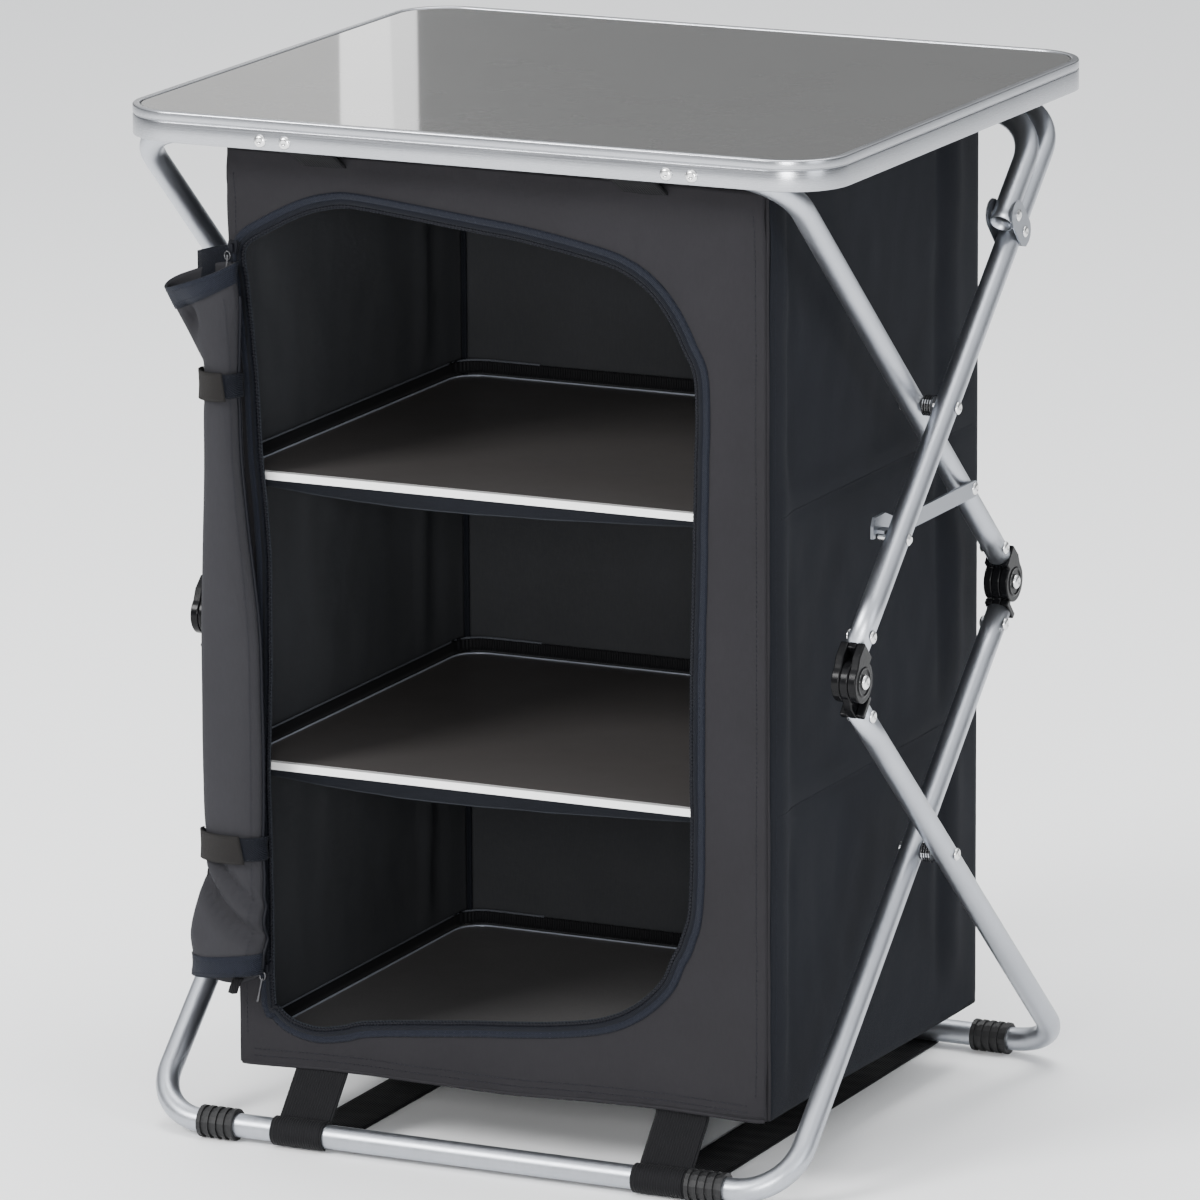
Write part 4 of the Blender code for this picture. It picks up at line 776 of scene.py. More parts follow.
def knuckle(node, tube, pin, x, forked):
    """Half of a plastic elbow: rounded plates round the pin, a neck and a raised ring on its face."""
    up_leg = Vector((0, -tube.run[0], -tube.run[1]))
    foot = Vector((0, *leg_point(tube, tube.length + KNUCKLE_NECK)))
    toward = (foot - Vector((0, *pin))).normalized()
    low = KNUCKLE_OFFSET - TUBE_RADIUS + KNUCKLE_GAP
    high = KNUCKLE_OFFSET + TUBE_RADIUS
    tip = math.degrees(math.asin(low / KNUCKLE_RADIUS))
    plate = arc((0, 0), KNUCKLE_RADIUS, 90, 360 + tip, 45)
    plate += [(KNUCKLE_NECK, low), (KNUCKLE_NECK, high), (KNUCKLE_RADIUS / 2, high)]
    neck_start = KNUCKLE_RADIUS + KNUCKLE_GAP
    neck = [(neck_start, low), (KNUCKLE_NECK, low), (KNUCKLE_NECK, high), (neck_start, high)]
    spread = KNUCKLE_PLATE + KNUCKLE_GAP
    if forked:
        slabs = [(plate, -spread, KNUCKLE_PLATE), (plate, spread, KNUCKLE_PLATE), (neck, 0, KNUCKLE_PLATE)]
    else:
        beside, thin = KNUCKLE_PLATE + 0.0001, KNUCKLE_PLATE - 0.0002
        slabs = [(plate, 0, KNUCKLE_PLATE), (neck, -beside, thin), (neck, beside, thin)]
    work = bmesh.new()
    for outline, middle, thickness in slabs:
        prism(work, [(u, v, middle - thickness / 2) for u, v in outline], (0, 0, thickness))
    made = solid_piece(node + "_moulded", work, PLASTIC)
    made.data.shade_smooth()
    made.data.set_sharp_from_angle(angle=math.radians(40))
    placed = Matrix((up_leg, toward, up_leg.cross(toward))).transposed().to_4x4()
    placed.translation = (x, *pin)
    made.data.transform(placed)
    soften(made, 0.0009, 3)
    on_body(made, tube.body, node)
    if forked:
        for out, label in ((-1, "a"), (1, "b")):
            face = x + out * (spread + KNUCKLE_PLATE / 2)
            profile = [(face + out * (rise - 0.0001), radius) for radius, rise in KNUCKLE_RING]
            on_body(turned(f"{node}_ring_{label}", profile, pin, 40), tube.body)


def knuckles():
    for label in ("left", "right"):
        for node, frame_node, pin, forked in (
                ("rear_knuckle_upper", "front_top_frame", REAR_PIN, True),
                ("rear_knuckle_lower", "front_foot_frame", REAR_PIN, False),
                ("front_knuckle_upper", "rear_top_frame", FRONT_PIN, True),
                ("front_knuckle_lower", "rear_foot_frame", FRONT_PIN, False)):
            tube = TUBES[frame_node]
            knuckle(f"{node}_{label}", tube, pin, getattr(tube, label), forked)


# Fabric cabinet

# Centre, width and height of the swellings and creases of its cloth
PANEL_STRIP = (0.199, 0.016, 0.0030)
PANEL_TOP = (0.765, 0.012, 0.0022)
PANEL_FOOT = (0.080, 0.020, 0.0020)
HIGH_CREASE = (0.018, 0.010, 0.0016)
LOW_CREASE = (0.020, 0.011, 0.0014)
WALL_FRONT_BULGE = (-0.1880, 0.014, 0.0042)
WALL_FRONT_HOLLOW = (-0.170, 0.008, 0.0016)
WALL_REAR_HOLLOW = (0.118, 0.011, 0.0034)
WALL_REAR_BULGE = (0.146, 0.012, 0.0020)
WALL_DRAG = (-0.05, 0.030, 0.0018)
# Middle of the puckers round the opening's upper right corner, as x and z
PUCKER_CENTRE = (0.112, 0.655)


def hem_z(x):
    """Height of the cabinet's lower front edge."""
    return 0.0545 + 0.0055 * (x + HALF_WIDTH) / (2 * HALF_WIDTH) - 0.0012 * math.cos(x * 26)


def side_hem_z(side, y):
    """Height of a side wall's lower edge."""
    return hem_z(side * HALF_WIDTH) - 0.0065 * smoothstep(-0.20, 0.19, y)


def panel_y(x, z):
    """Depth of the front panel's face: taut cloth that puffs a little between its seams."""
    edge = HALF_WIDTH - abs(x)
    calm = smoothstep(0.0, 0.012, edge)
    seam = 0.0012 * (1 - smoothstep(0.0, 0.006, edge)) ** 2
    strip = swell(x, PANEL_STRIP) * smoothstep(0.06, 0.16, z) * smoothstep(0.80, 0.70, z)
    top = swell(z, PANEL_TOP) * (1 - 0.35 * math.cos(x * 40))
    foot = swell(z, PANEL_FOOT) * smoothstep(-0.21, -0.10, x)
    slow = 0.0018 * (0.6 + wobble(x, 0, z, 0.090, 3.0)) * calm
    fine = 0.0008 * (0.6 + wobble(x, 0, z, 0.028, 8.0)) * calm
    across, up = x - PUCKER_CENTRE[0], z - PUCKER_CENTRE[1]
    reach, turn = math.hypot(across, up), math.atan2(up, across)
    puckers = 0.0010 * math.cos(31 * turn + 40 * reach) * bell(reach, 0.080, 0.016) * calm
    puckers *= smoothstep(0.35, 0.75, turn) * smoothstep(1.75, 1.30, turn)
    high = swell((x - 0.150) * 0.75 + z - 0.690, HIGH_CREASE) * smoothstep(0.60, 0.72, z)
    low = swell((x - 0.150) * 0.8 - z + 0.150, LOW_CREASE) * smoothstep(0.24, 0.12, z)
    creases = (high + low) * smoothstep(0.10, 0.20, x)
    return FRONT_Y - 0.0010 + seam - strip - top - foot - slow - fine - puckers + creases


def polar_outline(loop):
    """Angles of a closed outline about the opening's middle, and its radius as a function of angle."""
    spokes = loop - np.array(OPENING_MIDDLE)
    angles = np.arctan2(spokes[:, 1], spokes[:, 0])
    order = np.argsort(angles)
    angle, radius = angles[order], np.hypot(spokes[:, 0], spokes[:, 1])[order]
    angle = np.concatenate([angle[-3:] - 2 * math.pi, angle, angle[:3] + 2 * math.pi])
    radius = np.concatenate([radius[-3:], radius, radius[:3]])
    return list(angles), lambda wanted: float(np.interp(wanted, angle, radius))


def front_panel():
    middle_x, middle_z = OPENING_MIDDLE
    angles, reach = polar_outline(smooth_loop(OPENING, 420))
    angles += [math.atan2(z - middle_z, x - middle_x)
               for x in (-HALF_WIDTH, HALF_WIDTH) for z in (BOTTOM_Z, TOP_Z)]
    angles = sorted(set(round(angle, 6) for angle in angles))

    def point(angle, share):
        cos, sin = math.cos(angle), math.sin(angle)
        to_side = (math.copysign(HALF_WIDTH, cos) - middle_x) / cos
        to_end = ((TOP_Z if sin > 0 else BOTTOM_Z) - middle_z) / sin
        inner = reach(angle)
        distance = inner + (min(to_side, to_end) - inner) * share
        x, z = middle_x + distance * cos, middle_z + distance * sin
        if sin < 0:
            z += (hem_z(x) - BOTTOM_Z) * share * smoothstep(0.20, 0.10, z)
        return x, panel_y(x, z), z

    rows = [[point(angle, share) for angle in angles]
            for share in (0, 0.03, 0.08, 0.15, 0.25, 0.37, 0.5, 0.63, 0.76, 0.88, 0.96, 1.0)]
    made = grid_piece("front_panel", rows, CHARCOAL, round_columns=True)
    thicken(made, CLOTH_THICKNESS, offset=1.0)
    on_cabinet(made, "cabinet_front_panel")


def on_panel(loop, distance, lift):
    """A line on the panel's face, outside the opening's outline by a distance and raised by a lift."""
    tangent = np.roll(loop, -1, axis=0) - np.roll(loop, 1, axis=0)
    tangent /= np.linalg.norm(tangent, axis=1)[:, None]
    normal = np.stack([-tangent[:, 1], tangent[:, 0]], axis=1)
    return [(x, panel_y(x, z) - lift, z) for x, z in loop + normal * distance]


# Distance from the opening's edge and lift of the zip tape's section
TAPE_PROFILE = ((-0.0012, 0.0004), (-0.0010, 0.0012), (0.0, 0.0016), (0.0030, 0.0014), (0.0034, 0.0009),
                (0.0038, 0.0014), (0.0074, 0.0013), (0.0086, 0.0009), (0.0088, 0.0002))
DARK_TAPE_ROWS = 3


def opening_trim():
    """Zip tape round the opening, with its coil, piping and stitches."""
    loop = smooth_loop(OPENING, 600)
    rows = [on_panel(loop, distance, lift) for distance, lift in TAPE_PROFILE]
    tape = on_cabinet(grid_piece("opening_tape", rows, TAPE, round_columns=True), "opening_zip_tape")
    tape.data.materials.append(DARK_TAPE)
    for face in tape.data.polygons:
        face.material_index = int(face.index < DARK_TAPE_ROWS * len(loop))
    path = on_panel(smooth_loop(OPENING, 2600), -0.0022, 0.0006)
    waves = [1.0 + 0.32 * math.sin(k * math.pi / 2) for k in range(len(path))]
    cord("zip_coil_ring", path, 0.0015, COIL, sides=6, closed=True, waves=waves)
    cord("opening_piping", on_panel(loop, -0.0030, -0.0004), 0.0013, PIPING, closed=True)
    for name, distance in (("inner", 0.0046), ("outer", 0.0078)):
        path = on_panel(loop, distance, 0.0014)
        stitches(f"opening_stitches_{name}", path + path[:1], (0, -1, 0))


def wall_x(side, y, z):
    """Distance of a side wall from the middle: puffed between the shelves, drawn in at them."""
    between = math.prod(1 - bell(z, shelf_z, 0.030) for _, shelf_z in SHELF_HEIGHTS)
    span = smoothstep(-0.21, -0.16, y) * smoothstep(0.20, 0.14, y)
    x = HALF_WIDTH + 0.0006
    for _, shelf_z in SEWN_SHELVES:
        x += span * (0.0012 * bell(z, shelf_z + 0.010, 0.010) - 0.0011 * bell(z, shelf_z - 0.004, 0.0030))
    x += swell(y, WALL_FRONT_BULGE) * smoothstep(0.05, 0.14, z)
    x += between * (swell(y, WALL_REAR_BULGE) - swell(y, WALL_REAR_HOLLOW) - swell(y, WALL_FRONT_HOLLOW))
    x += 0.0036 * span * between * wobble(y, z * 0.6, side, 0.13, 5.0 + side)
    x += 0.0012 * span * between * wobble(y * 1.6, z, side, 0.05, 11.0 + side)
    x += swell(z - TOP_Z + (y + 0.20) * 1.5, WALL_DRAG) * bell(z, 0.70, 0.10)
    front = 1 - smoothstep(0.0, 0.010, y - FRONT_Y)
    back = 1 - smoothstep(0.0, 0.010, BACK_Y - y)
    return x - 0.0010 * (front ** 2 + back ** 2)


def side_walls():
    """Left and right wall; the columns run so that the normals of both point outward."""
    for side, label in SIDES:

        def point(across, rise):
            y = FRONT_Y + 0.0038 + (BACK_Y - FRONT_Y - 0.0045) * (across if side > 0 else 1 - across)
            foot = side_hem_z(side, y)
            top = TOP_Z - (TOP_Z - REAR_CORNER_Z) * smoothstep(0.155, 0.163, y)
            z = foot + (top - foot) * rise
            return side * wall_x(side, y, z), y, z

        made = grid_piece(f"{label}_wall", surface(84, 150, point), SIDE_CLOTH)
        # the inner faces take the lighter cloth, painted light for the dim inside
        thicken(made, CLOTH_THICKNESS, inner_finish=INNER_CLOTH_PAINTED_LIGHT)
        on_cabinet(made, f"cabinet_{label}_wall")


def back_wall():
    def point(across, rise):
        x = (HALF_WIDTH - 0.0030) * (1 - 2 * across)
        z = BOTTOM_Z + 0.0005 + (REAR_CORNER_Z - BOTTOM_Z - 0.001) * rise
        edge = min(1.0, (HALF_WIDTH - abs(x)) / 0.03)
        puff = 0.0018 * wobble(x, 0, z, 0.12, 21.0) + 0.0008 * wobble(x, 0, z, 0.045, 31.0)
        drawn_in = sum(0.0008 * bell(z, shelf_z - 0.004, 0.004) for _, shelf_z in SEWN_SHELVES)
        return x, BACK_Y - 0.0012 + edge * (puff - drawn_in), z

    made = grid_piece("back_wall", surface(92, 120, point), SIDE_CLOTH)
    # the inner faces take the lighter cloth, painted light for the dim inside
    thicken(made, CLOTH_THICKNESS, inner_finish=INNER_CLOTH_PAINTED_LIGHT)
    on_cabinet(made, "cabinet_back_wall")


def floor_cloth():
    """The cloth under the lower shelf, which goes down with that shelf."""
    half = 0.2255

    def point(across, back):
        x = half * (2 * across - 1)
        y = FRONT_Y + 0.003 + (BACK_Y - FRONT_Y - 0.006) * back
        sag = 0.0012 * (0.5 + 0.5 * wobble(x, y, 0, 0.10, 41.0)) * smoothstep(0, 0.03, half - abs(x))
        return x, y, BOTTOM_Z + 0.0006 - sag

    made = grid_piece("floor_cloth", surface(60, 60, point), SIDE_CLOTH, thickness=0.0010)
    on_body(made, "shelf_lower", "cabinet_floor_cloth")


# Cabinet seams

# Radii of the pipings, how far stitches stand off walls and panel, and the x along the lower hems
PIPING_RADIUS = 0.0017
CORNER_PIPING_RADIUS = 0.0019
INNER_PIPING_RADIUS = 0.0016
WALL_STITCH_LIFT = 0.0006
PANEL_STITCH_LIFT = 0.0002
HEM_XS = steps(-HALF_WIDTH + 0.002, HALF_WIDTH - 0.002, 120)


def wall_stitches(name, side, places):
    """Stitches on a side wall's outer face, through places given as y and z."""
    path = [(side * (wall_x(side, y, z) + WALL_STITCH_LIFT), y, z) for y, z in places]
    stitches(name, path, (side, 0, 0))


def panel_stitches(name, places):
    """Stitches on the front panel's face, through places given as x and z."""
    stitches(name, [(x, panel_y(x, z) - PANEL_STITCH_LIFT, z) for x, z in places], (0, -1, 0))


def side_seams():
    """Piped corners and hems of the side walls, and their stitches at the shelves and in front."""
    ys = steps(FRONT_Y + 0.004, BACK_Y - 0.002, 80)
    for side, label in SIDES:
        path = [(side * (HALF_WIDTH - 0.0004 + 0.0008 * wobble(0, 0, z, 0.06, side)), FRONT_Y + 0.0026, z)
                for z in steps(hem_z(side * HALF_WIDTH), TOP_Z, 140)]
        cord(f"front_corner_piping_{label}", path, CORNER_PIPING_RADIUS, CHARCOAL)
        x = side * (HALF_WIDTH - 0.0012)
        path = [(x, BACK_Y - 0.0010, z) for z in steps(BOTTOM_Z, REAR_CORNER_Z, 100)]
        cord(f"rear_corner_piping_{label}", path, PIPING_RADIUS, SIDE_CLOTH)
        path = [(side * (HALF_WIDTH - 0.0010), y, side_hem_z(side, y)) for y in ys]
        cord(f"side_hem_piping_{label}", path, PIPING_RADIUS, SIDE_CLOTH)
        for shelf, shelf_z in SEWN_SHELVES:
            places = [(y, shelf_z - 0.001) for y in ys[2:-2]]
            wall_stitches(f"side_stitches_{shelf}_{label}", side, places)
        places = [(FRONT_Y + 0.010, z) for z in steps(0.075, 0.775, 150)]
        wall_stitches(f"corner_stitches_{label}", side, places)


def front_seams():
    """Piped hem of the front panel and the stitches along its hem and its sides."""
    path = [(x, panel_y(x, hem_z(x) + 0.003) + 0.0008, hem_z(x)) for x in HEM_XS]
    cord("front_hem_piping", path, PIPING_RADIUS, CHARCOAL)
    for label, rise in (("lower", 0.0065), ("upper", 0.0120)):
        panel_stitches(f"front_hem_stitches_{label}", [(x, hem_z(x) + rise) for x in HEM_XS[3:-3]])
    for side, label in SIDES:
        x = side * (HALF_WIDTH - 0.0075)
        panel_stitches(f"panel_edge_stitches_{label}", [(x, z) for z in steps(0.078, 0.768, 200)])


def rear_seams():
    """Piped hem of the back wall and the piped corners inside it."""
    path = [(x, BACK_Y - 0.0006, BOTTOM_Z + 0.0008) for x in HEM_XS]
    cord("rear_hem_piping", path, PIPING_RADIUS, SIDE_CLOTH)
    for side, label in SIDES:
        x = side * (HALF_WIDTH - 0.0050)
        path = [(x, BACK_Y - 0.0048, z) for z in steps(0.072, 0.762, 90)]
        cord(f"inner_corner_piping_{label}", path, INNER_PIPING_RADIUS, SIDE_CLOTH)


# Rolled door

# Its middle, its turns, the size of its core, the heights of its straps and how deep they pinch it
ROLL_X = -0.2240
ROLL_Y = -0.2300
ROLL_RADIUS = 0.0162
ROLL_TURNS = 5.4
ROLL_START = math.radians(347)
ROLL_CORE = 0.16
ROLL_STRAPS = (("upper", 0.604), ("lower", 0.236))
PINCH = 0.0014
CREASE_DEPTH = 0.0150
# Slant, height, width and share of the depth of the two creases round the roll's foot
FOOT_CREASES = ((0.025, 0.187, 0.0072, 1.0), (0.026, 0.214, 0.0055, 0.6))


def roll_section(z):
    """Centre x and y, half width and half depth of the roll at a height."""
    top = min(1.0, max(0.0, (z - 0.622) / 0.062))
    foot = smoothstep(0.222, 0.160, z)
    wide = smoothstep(0.570, 0.380, z)
    pinch = sum(PINCH * bell(z, strap_z, 0.017) for _, strap_z in ROLL_STRAPS)
    x = ROLL_X - 0.0155 * top + 0.0045 * wide - 0.0068 * foot
    y = ROLL_Y - 0.0030 * top - 0.0020 * foot
    half_width = ROLL_RADIUS + 0.0192 * top + 0.0108 * wide + 0.0052 * foot - pinch
    half_depth = ROLL_RADIUS + 0.0060 * top + 0.0080 * foot - pinch
    return x, y, half_width, half_depth


def roll_turn(share):
    """Angle of a point of the rolled sheet and how loosely its turn lies: 0 at its core, 1 at its edge."""
    return ROLL_START - 2 * math.pi * ROLL_TURNS * (1 - share), smoothstep(0.70, 0.90, share)


def roll_point(share, z, lift=0.0):
    """A point of the rolled sheet at a share of its width from the core and a height."""
    x, y, *halves = roll_section(z)
    angle, loose = roll_turn(share)
    across, deep = math.cos(angle), math.sin(angle)
    half_width, half_depth = (ROLL_RADIUS + (half - ROLL_RADIUS) * loose for half in halves)
    x = ROLL_X + (x - ROLL_X) * loose
    ends = smoothstep(0.63, 0.68, z) + smoothstep(0.21, 0.15, z)
    dent = 1.0 + 0.020 * math.sin(3 * angle + z * 9) * smoothstep(0.3, 1.0, share)
    dent += (0.030 + 0.10 * ends) * wobble(across, deep, z / 0.07, 1.0, 51.0) * share
    dent -= 0.09 * ends * share * bell(z - 0.035 * across, 0.655 if z > 0.4 else 0.172, 0.013)
    size = (ROLL_CORE + (1 - ROLL_CORE) * share) * dent
    crease = bell(z - 0.020 * across, 0.664, 0.0110) * bell(across, -0.40, 0.22)
    for slant, height, width, depth in FOOT_CREASES:
        crease += depth * bell(z + slant * across, height, width)
    crease *= CREASE_DEPTH * max(0.0, -deep) ** 0.5
    face_y = y + (half_depth * size + lift) * deep + crease
    return x + (half_width * size + lift) * across, min(face_y, FRONT_Y - 0.0042), z


def roll_end_z(share, top):
    """The rolled sheet's ends: its hem slopes where the outer turn flares, the inner turns end lower."""
    angle, loose = roll_turn(share)
    across, deep = math.cos(angle), math.sin(angle)
    if top:
        return 0.670 + loose * (0.021 + 0.0125 * across + 0.0045 * deep)
    return 0.138 - loose * (0.005 - 0.0030 * across + 0.016 * max(0.0, deep))


# The ends of the rolled sheet: name, whether it is the top, and how far its hem band reaches inward
HEM_BANDS = (("top", True, -0.0165), ("foot", False, 0.0168))
HEM_STITCHES = (0.0035, 0.0125)


def door_hem(label, top, reach):
    """The hem band along one end of the rolled sheet, where it shows, and the band's stitches."""
    def point(across, share):
        place = 0.8 + 0.2 * across
        return roll_point(place, roll_end_z(place, top) + reach * share, 0.0011)

    band = grid_piece(f"door_hem_band_{label}", surface(32, 4, point), TAPE, thickness=0.0008)
    on_cabinet(band)
    for index, drop in enumerate(HEM_STITCHES):
        path = [roll_point(share, roll_end_z(share, top) + math.copysign(drop, reach), 0.0018)
                for share in steps(0.9, 1.0, 16)]
        stitches(f"door_hem_stitches_{label}_{index}", path, (-0.3, -1, 0))
    return band


def door_roll():
    """The rolled cloth of the door with its hems, and the zip's coil and stitches on its free edge."""
    def point(share, rise):
        low, high = roll_end_z(share, False), roll_end_z(share, True)
        return roll_point(share, low + (high - low) * rise)

    made = grid_piece("rolled_door", surface(160, 190, point), ROLL_CLOTH, thickness=0.0010)
    on_cabinet(made, "door_roll")
    bands = [door_hem(*hem) for hem in HEM_BANDS]
    heights = steps(0.14, 0.675, 120)
    waves = [1.0 + 0.3 * (k % 2) for k in range(len(heights))]
    cord("door_edge_coil", [roll_point(1.0, z, 0.0010) for z in heights], 0.0013, COIL, sides=6,
         waves=waves)
    stitches("door_edge_stitches", [roll_point(0.985, z, 0.0010) for z in heights], (-0.3, -1, 0))


def roll_ring(z, start, end, lift, count=40):
    """A line round the roll's outermost turn from one angle to another, in degrees."""
    x, y, half_width, half_depth = roll_section(z)
    ring = []
    for angle in map(math.radians, steps(start, end, count)):
        size = 1 - (1 - ROLL_CORE) * (ROLL_START - angle) / (2 * math.pi * ROLL_TURNS)
        face_y = y + (half_depth * size + lift) * math.sin(angle)
        ring.append((x + (half_width * size + lift) * math.cos(angle), min(face_y, FRONT_Y - 0.0034), z))
    return ring


# Heights of the roll's straps and their hook patches, and how far what is on the roll stands off it
STRAP_HEIGHT = 0.019
PATCH_HEIGHT = 0.0225
STRAP_LIFT = 0.0026
PATCH_LIFT = 0.0042
STRAP_STITCH_LIFT = 0.0036


def roll_straps():
    """Two straps round the roll, each with a patch of hook tape and the stitches at its end."""
    for name, z in ROLL_STRAPS:
        rows = [roll_ring(z + STRAP_HEIGHT * (k / 8 - 0.5), 60, 360, STRAP_LIFT + 0.0003 * math.sin(k))
                for k in range(9)]
        on_cabinet(grid_piece(f"roll_strap_{name}", rows, DARK_TAPE, thickness=0.0012),
                   f"door_roll_strap_{name}")
        rows = [roll_ring(z - 0.0115 + PATCH_HEIGHT * share, 176, 303 - 9 * share, PATCH_LIFT, 24)
                for share in steps(0, 1, 8)]
        on_cabinet(grid_piece(f"hook_patch_{name}", rows, HOOK_PATCH, thickness=0.0016))
        for label, edge in (("low", -0.0080), ("high", 0.0080)):
            ring = roll_ring(z + edge, 306, 345, STRAP_STITCH_LIFT, 24)
            stitches(f"strap_stitches_{name}_{label}", ring, (0.3, -1, 0))


# Zip sliders: outline of the body's two plates, section of the bridge between them, and the pull's
# distance from the eye and half width
SLIDER_OUTLINE = ((-0.0036, 0.0058), (-0.0042, 0.0020), (-0.0030, -0.0052), (0.0030, -0.0052),
                  (0.0042, 0.0020), (0.0036, 0.0058), (0.0, 0.0046))
SLIDER_BRIDGE = ((-0.0012, -0.0013), (0.0012, -0.0013), (0.0012, -0.0036), (-0.0012, -0.0036))
PULL_SHAPE = ((0.0045, 0.0005), (0.0058, 0.0009), (0.0090, 0.0006), (0.0165, 0.0006), (0.0215, 0.0008),
              (0.0235, 0.0009), (0.0250, 0.0006))
# Name, place, tilt of the pull and share of its length that shows
SLIDERS = (("upper", (-0.2200, FRONT_Y - 0.0078, 0.7085), 0.10, 0.55),
           ("lower", (-0.1995, FRONT_Y - 0.0050, 0.1340), 0.45, 1.0))


def sliders():
    """Zip sliders at both ends of the rolled edge: body, bridge, eye and pull."""
    for name, place, tilt, length in SLIDERS:
        work = bmesh.new()
        for y in (-0.0013, 0.0013):
            prism(work, [(x, y, z) for x, z in SLIDER_OUTLINE], (0, 0.0008, 0))
        prism(work, [(x, y, 0.0034) for x, y in SLIDER_BRIDGE], (0, 0, -0.0062))
        body = solid_piece(f"slider_body_{name}", work, COIL)
        body.location = place
        soften(body, EDGE_RADIUS)
        on_cabinet(body, f"zip_slider_{name}")
        hang = Vector((-math.sin(tilt) * 0.4, -0.10, -1)).normalized()
        start = Vector(place) + Vector((-0.0030, -0.0036, -0.0030))
        eye = [start + hang * 0.0032 + Vector((cos * 0.0024, 0, sin * 0.0034)) for cos, sin in circle(24)]
        cord(f"slider_eye_{name}", eye, 0.0006, PULL, closed=True)
        rows = [[start + hang * distance * length + Vector((half * side, 0, 0)) for side in (-1, 0, 1)]
                for distance, half in PULL_SHAPE]
        on_cabinet(grid_piece(f"slider_pull_{name}", rows, PULL, thickness=0.0011))


def door_details():
    """The flap behind the roll's top and the tab at its foot."""
    def flap_point(across, rise):
        return (-0.2510 + 0.034 * across - 0.0025 * rise,
                FRONT_Y - 0.0030 - 0.0050 * (1 - rise) * (1 - across) - 0.0012 * math.sin(6 * across),
                0.660 + 0.044 * rise - 0.006 * (across - 0.5) ** 2 + 0.0064 * across)

    def tab_point(across, drop):
        return (-0.2245 + 0.0080 * across - 0.0065 * drop,
                -0.2250 - 0.0015 * math.sin(4 * drop),
                0.1260 - 0.0140 * drop + 0.0020 * abs(across - 0.5) * drop)

    flap = on_cabinet(grid_piece("door_top_flap", surface(8, 12, flap_point), DARK_TAPE, thickness=0.0012))
    on_cabinet(grid_piece("door_foot_tab", surface(4, 8, tab_point), WEBBING, thickness=0.0016))


# Shelves

SHELF_FRONT = -0.2020
SHELF_BACK = 0.1862
SHELF_HALF = 0.2250
SHELF_CORNER = 0.022
WALL_INSIDE_X = 0.2258
WALL_INSIDE_Y = 0.1895
BINDING_FOOT = 0.0022
BINDING_HEIGHT = 0.0105
# Inset and lift of the side trim's section
TRIM_PROFILE = ((0.0, -0.0030), (0.0, 0.0006), (0.0003, 0.0011), (0.0013, 0.0011), (0.0016, 0.0002))


def shelf_trims():
    """Bright trim and cloth binding round each shelf and the cloth sleeve under its front edge."""
    corner_y = SHELF_BACK - SHELF_CORNER
    path = [(-SHELF_HALF, SHELF_FRONT + 0.001)]
    path += arc((-SHELF_HALF + SHELF_CORNER, corner_y), SHELF_CORNER, 180, 90, 9)
    path += arc((SHELF_HALF - SHELF_CORNER, corner_y), SHELF_CORNER, 90, 0, 9)
    path += [(SHELF_HALF, SHELF_FRONT + 0.001)]
    path = evenly(path, 160)
    # A direction into the shelf at each point of its edge
    inward = np.clip((np.array([0.0, (SHELF_FRONT + SHELF_BACK) / 2]) - path) * 6, -1, 1)
    inward /= np.linalg.norm(inward, axis=1)[:, None]
    walls = [(max(-WALL_INSIDE_X, min(WALL_INSIDE_X, x * 1.006)), min(WALL_INSIDE_Y, y + 0.002))
             for x, y in path]
    for name, z in SHELF_HEIGHTS:
        body = f"shelf_{name}"
        rows = [[(x, y, z + lift) for x, y in path + inward * inset] for inset, lift in TRIM_PROFILE]
        on_body(grid_piece(f"shelf_side_trim_{name}", rows, SIDE_TRIM), body)
        rows = [[(x, y, z + BINDING_FOOT + rise) for x, y in walls] for rise in steps(0, BINDING_HEIGHT, 3)]
        on_body(grid_piece(f"shelf_binding_{name}", rows, WEBBING, thickness=0.0006), body)
        left_wall = [(x + 0.0010, y, z + 0.0130) for x, y in walls[:60]]
        on_body(sweep(f"shelf_binding_piping_{name}", left_wall, 0.0009, WALL_PIPING, 6), body)
        if name != "lower":
            shelf_sleeve(name, body, z)


def shelf_sleeve(name, body, z):
    """The cloth that hangs below a shelf's front edge, with a piping along its foot."""
    def point(across, share):
        x = 0.449 * (across - 0.5)
        sag = 0.0045 + 0.0095 * (0.5 - 0.5 * math.cos(2 * math.pi * across ** 0.7)) ** 0.6
        ripple = 0.0008 * wobble(x, share, 0, 0.03, 61.0)
        return x, -0.2062 + 0.0100 * share, z - 0.0062 - (sag + ripple) * share

    rows = surface(80, 6, point)
    sleeve = on_body(grid_piece(f"shelf_sleeve_{name}", rows, SIDE_CLOTH, thickness=0.0008), body)
    on_body(sweep(f"shelf_sleeve_piping_{name}", rows[-1], 0.0008, PIPING, 6), body)


# Straps and loops

STRAP_X = 0.156
STRAP_HALF = 0.0225
STRAP_THICKNESS = 0.0016
STRAP_GAP = 0.0014
FLOOR_RUN_Z = 0.0018
RIBBON_STEP = 0.003
LOOP_HALF = 0.019
LOOP_THICKNESS = 0.0014
LOOP_GAP = 0.0012
# The bar, the wall's y and z, the way out of it, the ring's angles, its body and the x of both loops
BAR_LOOPS = {
    "front": (FRONT_TOP_BAR, FRONT_Y - 0.0006, 0.776, -1, (-60, -175), "front_top", (-0.142, 0.130)),
    "rear": (REAR_TOP_BAR, BACK_Y + 0.0006, 0.762, 1, (200, 330), "rear_top", (-0.142, 0.142)),
}


def web_ribbon(name, x, route, half=STRAP_HALF, thickness=STRAP_THICKNESS):
    """Webbing of the given half width along a route in the YZ plane."""
    rows = []
    for index, (y, z) in enumerate(evenly(route, max(8, int(length_of(route) / RIBBON_STEP)))):
        rows.append([(x + half * across, y, z + 0.0003 * math.sin(index * 0.9) * (1 - across * across))
                     for across in steps(-1, 1, 12)])
    return grid_piece(name, rows, WEBBING, thickness=thickness)


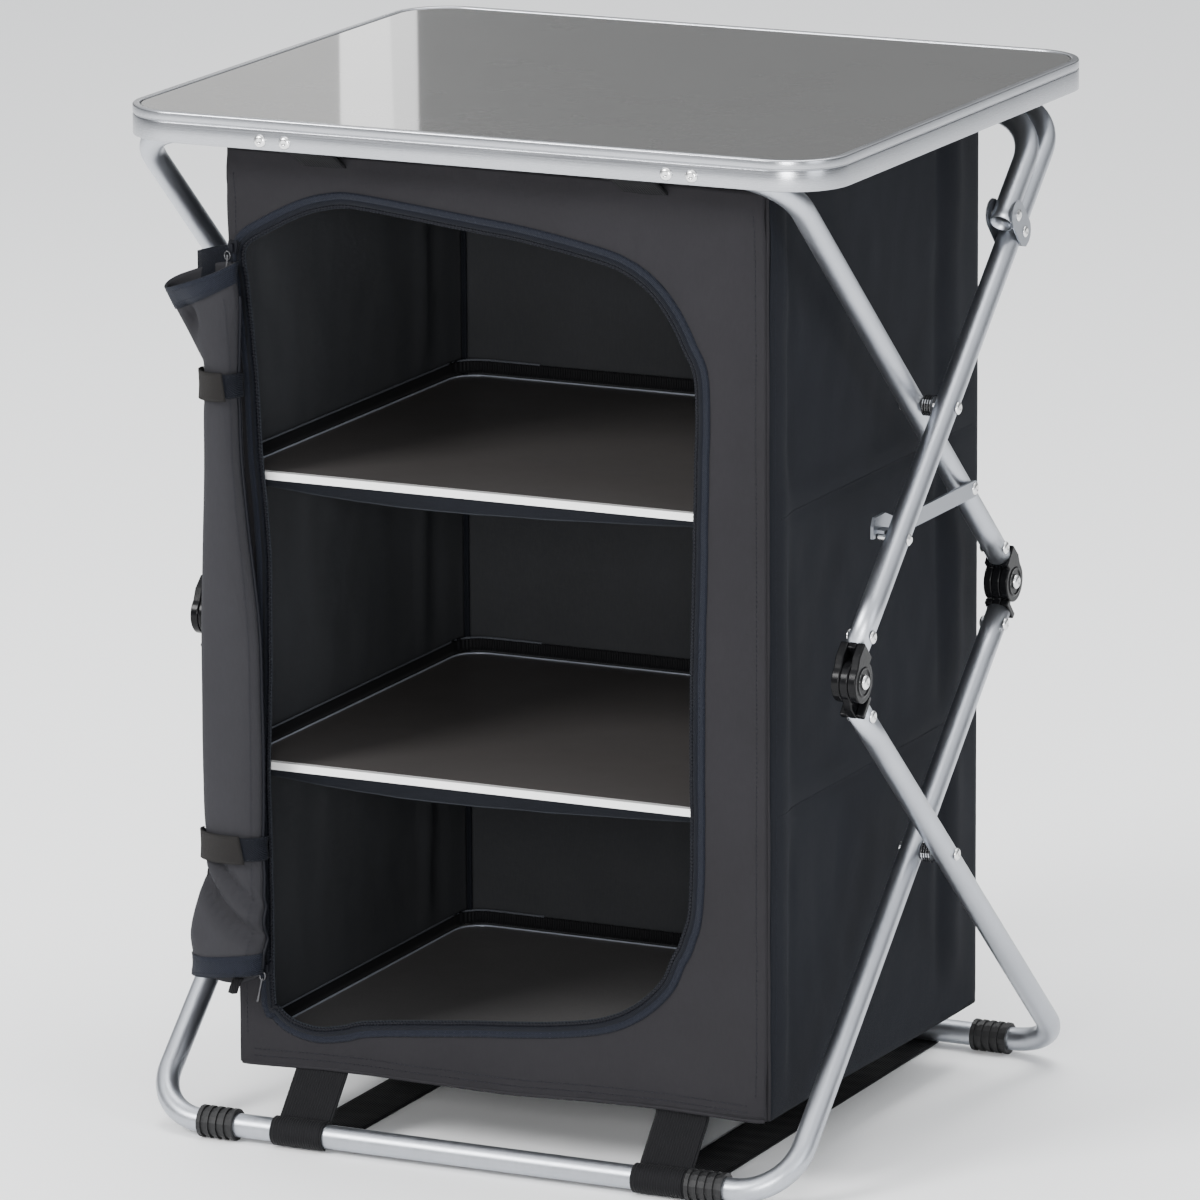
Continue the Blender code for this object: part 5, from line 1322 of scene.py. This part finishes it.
def flattened(item, z):
    """A strap's upright part, given a mesh of its own; z is not used."""
    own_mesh(item)


def floor_straps():
    """Webbing from the cabinet's foot round the floor bars; the rear straps run on under it."""
    for side, label in SIDES:
        x = side * STRAP_X
        wrap = arc(FRONT_FLOOR_BAR, TUBE_RADIUS + STRAP_GAP, 48, 255, 16)
        route = [(FRONT_Y + 0.0014, 0.0640), (FRONT_Y + 0.0002, 0.0540)] + wrap[:2]
        drop = web_ribbon(f"front_strap_drop_{label}", x, route)
        on_body(drop, "cabinet", f"front_floor_strap_{label}")
        flattened(drop, wrap[1][1])
        on_body(web_ribbon(f"front_strap_loop_{label}", x, wrap[1:]), "cabinet")
        wrap = arc(REAR_FLOOR_BAR, TUBE_RADIUS + STRAP_GAP, 132, -90, 16)
        route = [(BACK_Y + 0.0020, 0.0720), (BACK_Y + 0.0030, 0.0600)] + wrap[:2]
        rise = on_body(web_ribbon(f"rear_strap_rise_{label}", x, route), "rear_straps")
        flattened(rise, wrap[1][1])
        route = wrap[1:] + [(y, FLOOR_RUN_Z) for y in np.linspace(0.226, -0.2345, 60)]
        under = web_ribbon(f"rear_strap_{label}", x, route)
        on_body(under, "rear_straps", f"rear_floor_strap_{label}")


def bar_loops():
    """Cloth loops that hang the cabinet from the top bars."""
    for end, (bar, y, z, out, angles, body, xs) in BAR_LOOPS.items():
        ring = arc(bar, TUBE_RADIUS + LOOP_GAP, *angles, 12)
        tail = [(y + out * 0.0010, z - 0.016), (y + out * 0.0015, z), ring[0]]
        for x, (_, label) in zip(xs, SIDES):
            on_cabinet(web_ribbon(f"bar_loop_tail_{end}_{label}", x, tail, LOOP_HALF, LOOP_THICKNESS))
            on_body(web_ribbon(f"bar_loop_{end}_{label}", x, ring, LOOP_HALF, LOOP_THICKNESS), body)


# Assembly

make_camera()
make_light()
make_floor()
dress_cad_nodes()
for tube_node in TUBES:
    bent_tube(tube_node)
table_rim()
rivets()
knuckles()
front_panel()
opening_trim()
side_walls()
back_wall()
floor_cloth()
side_seams()
front_seams()
rear_seams()
door_roll()
roll_straps()
sliders()
door_details()
shelf_trims()
floor_straps()
bar_loops()
for item in CABINET_PIECES:
    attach(item, "cabinet")
    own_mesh(item)
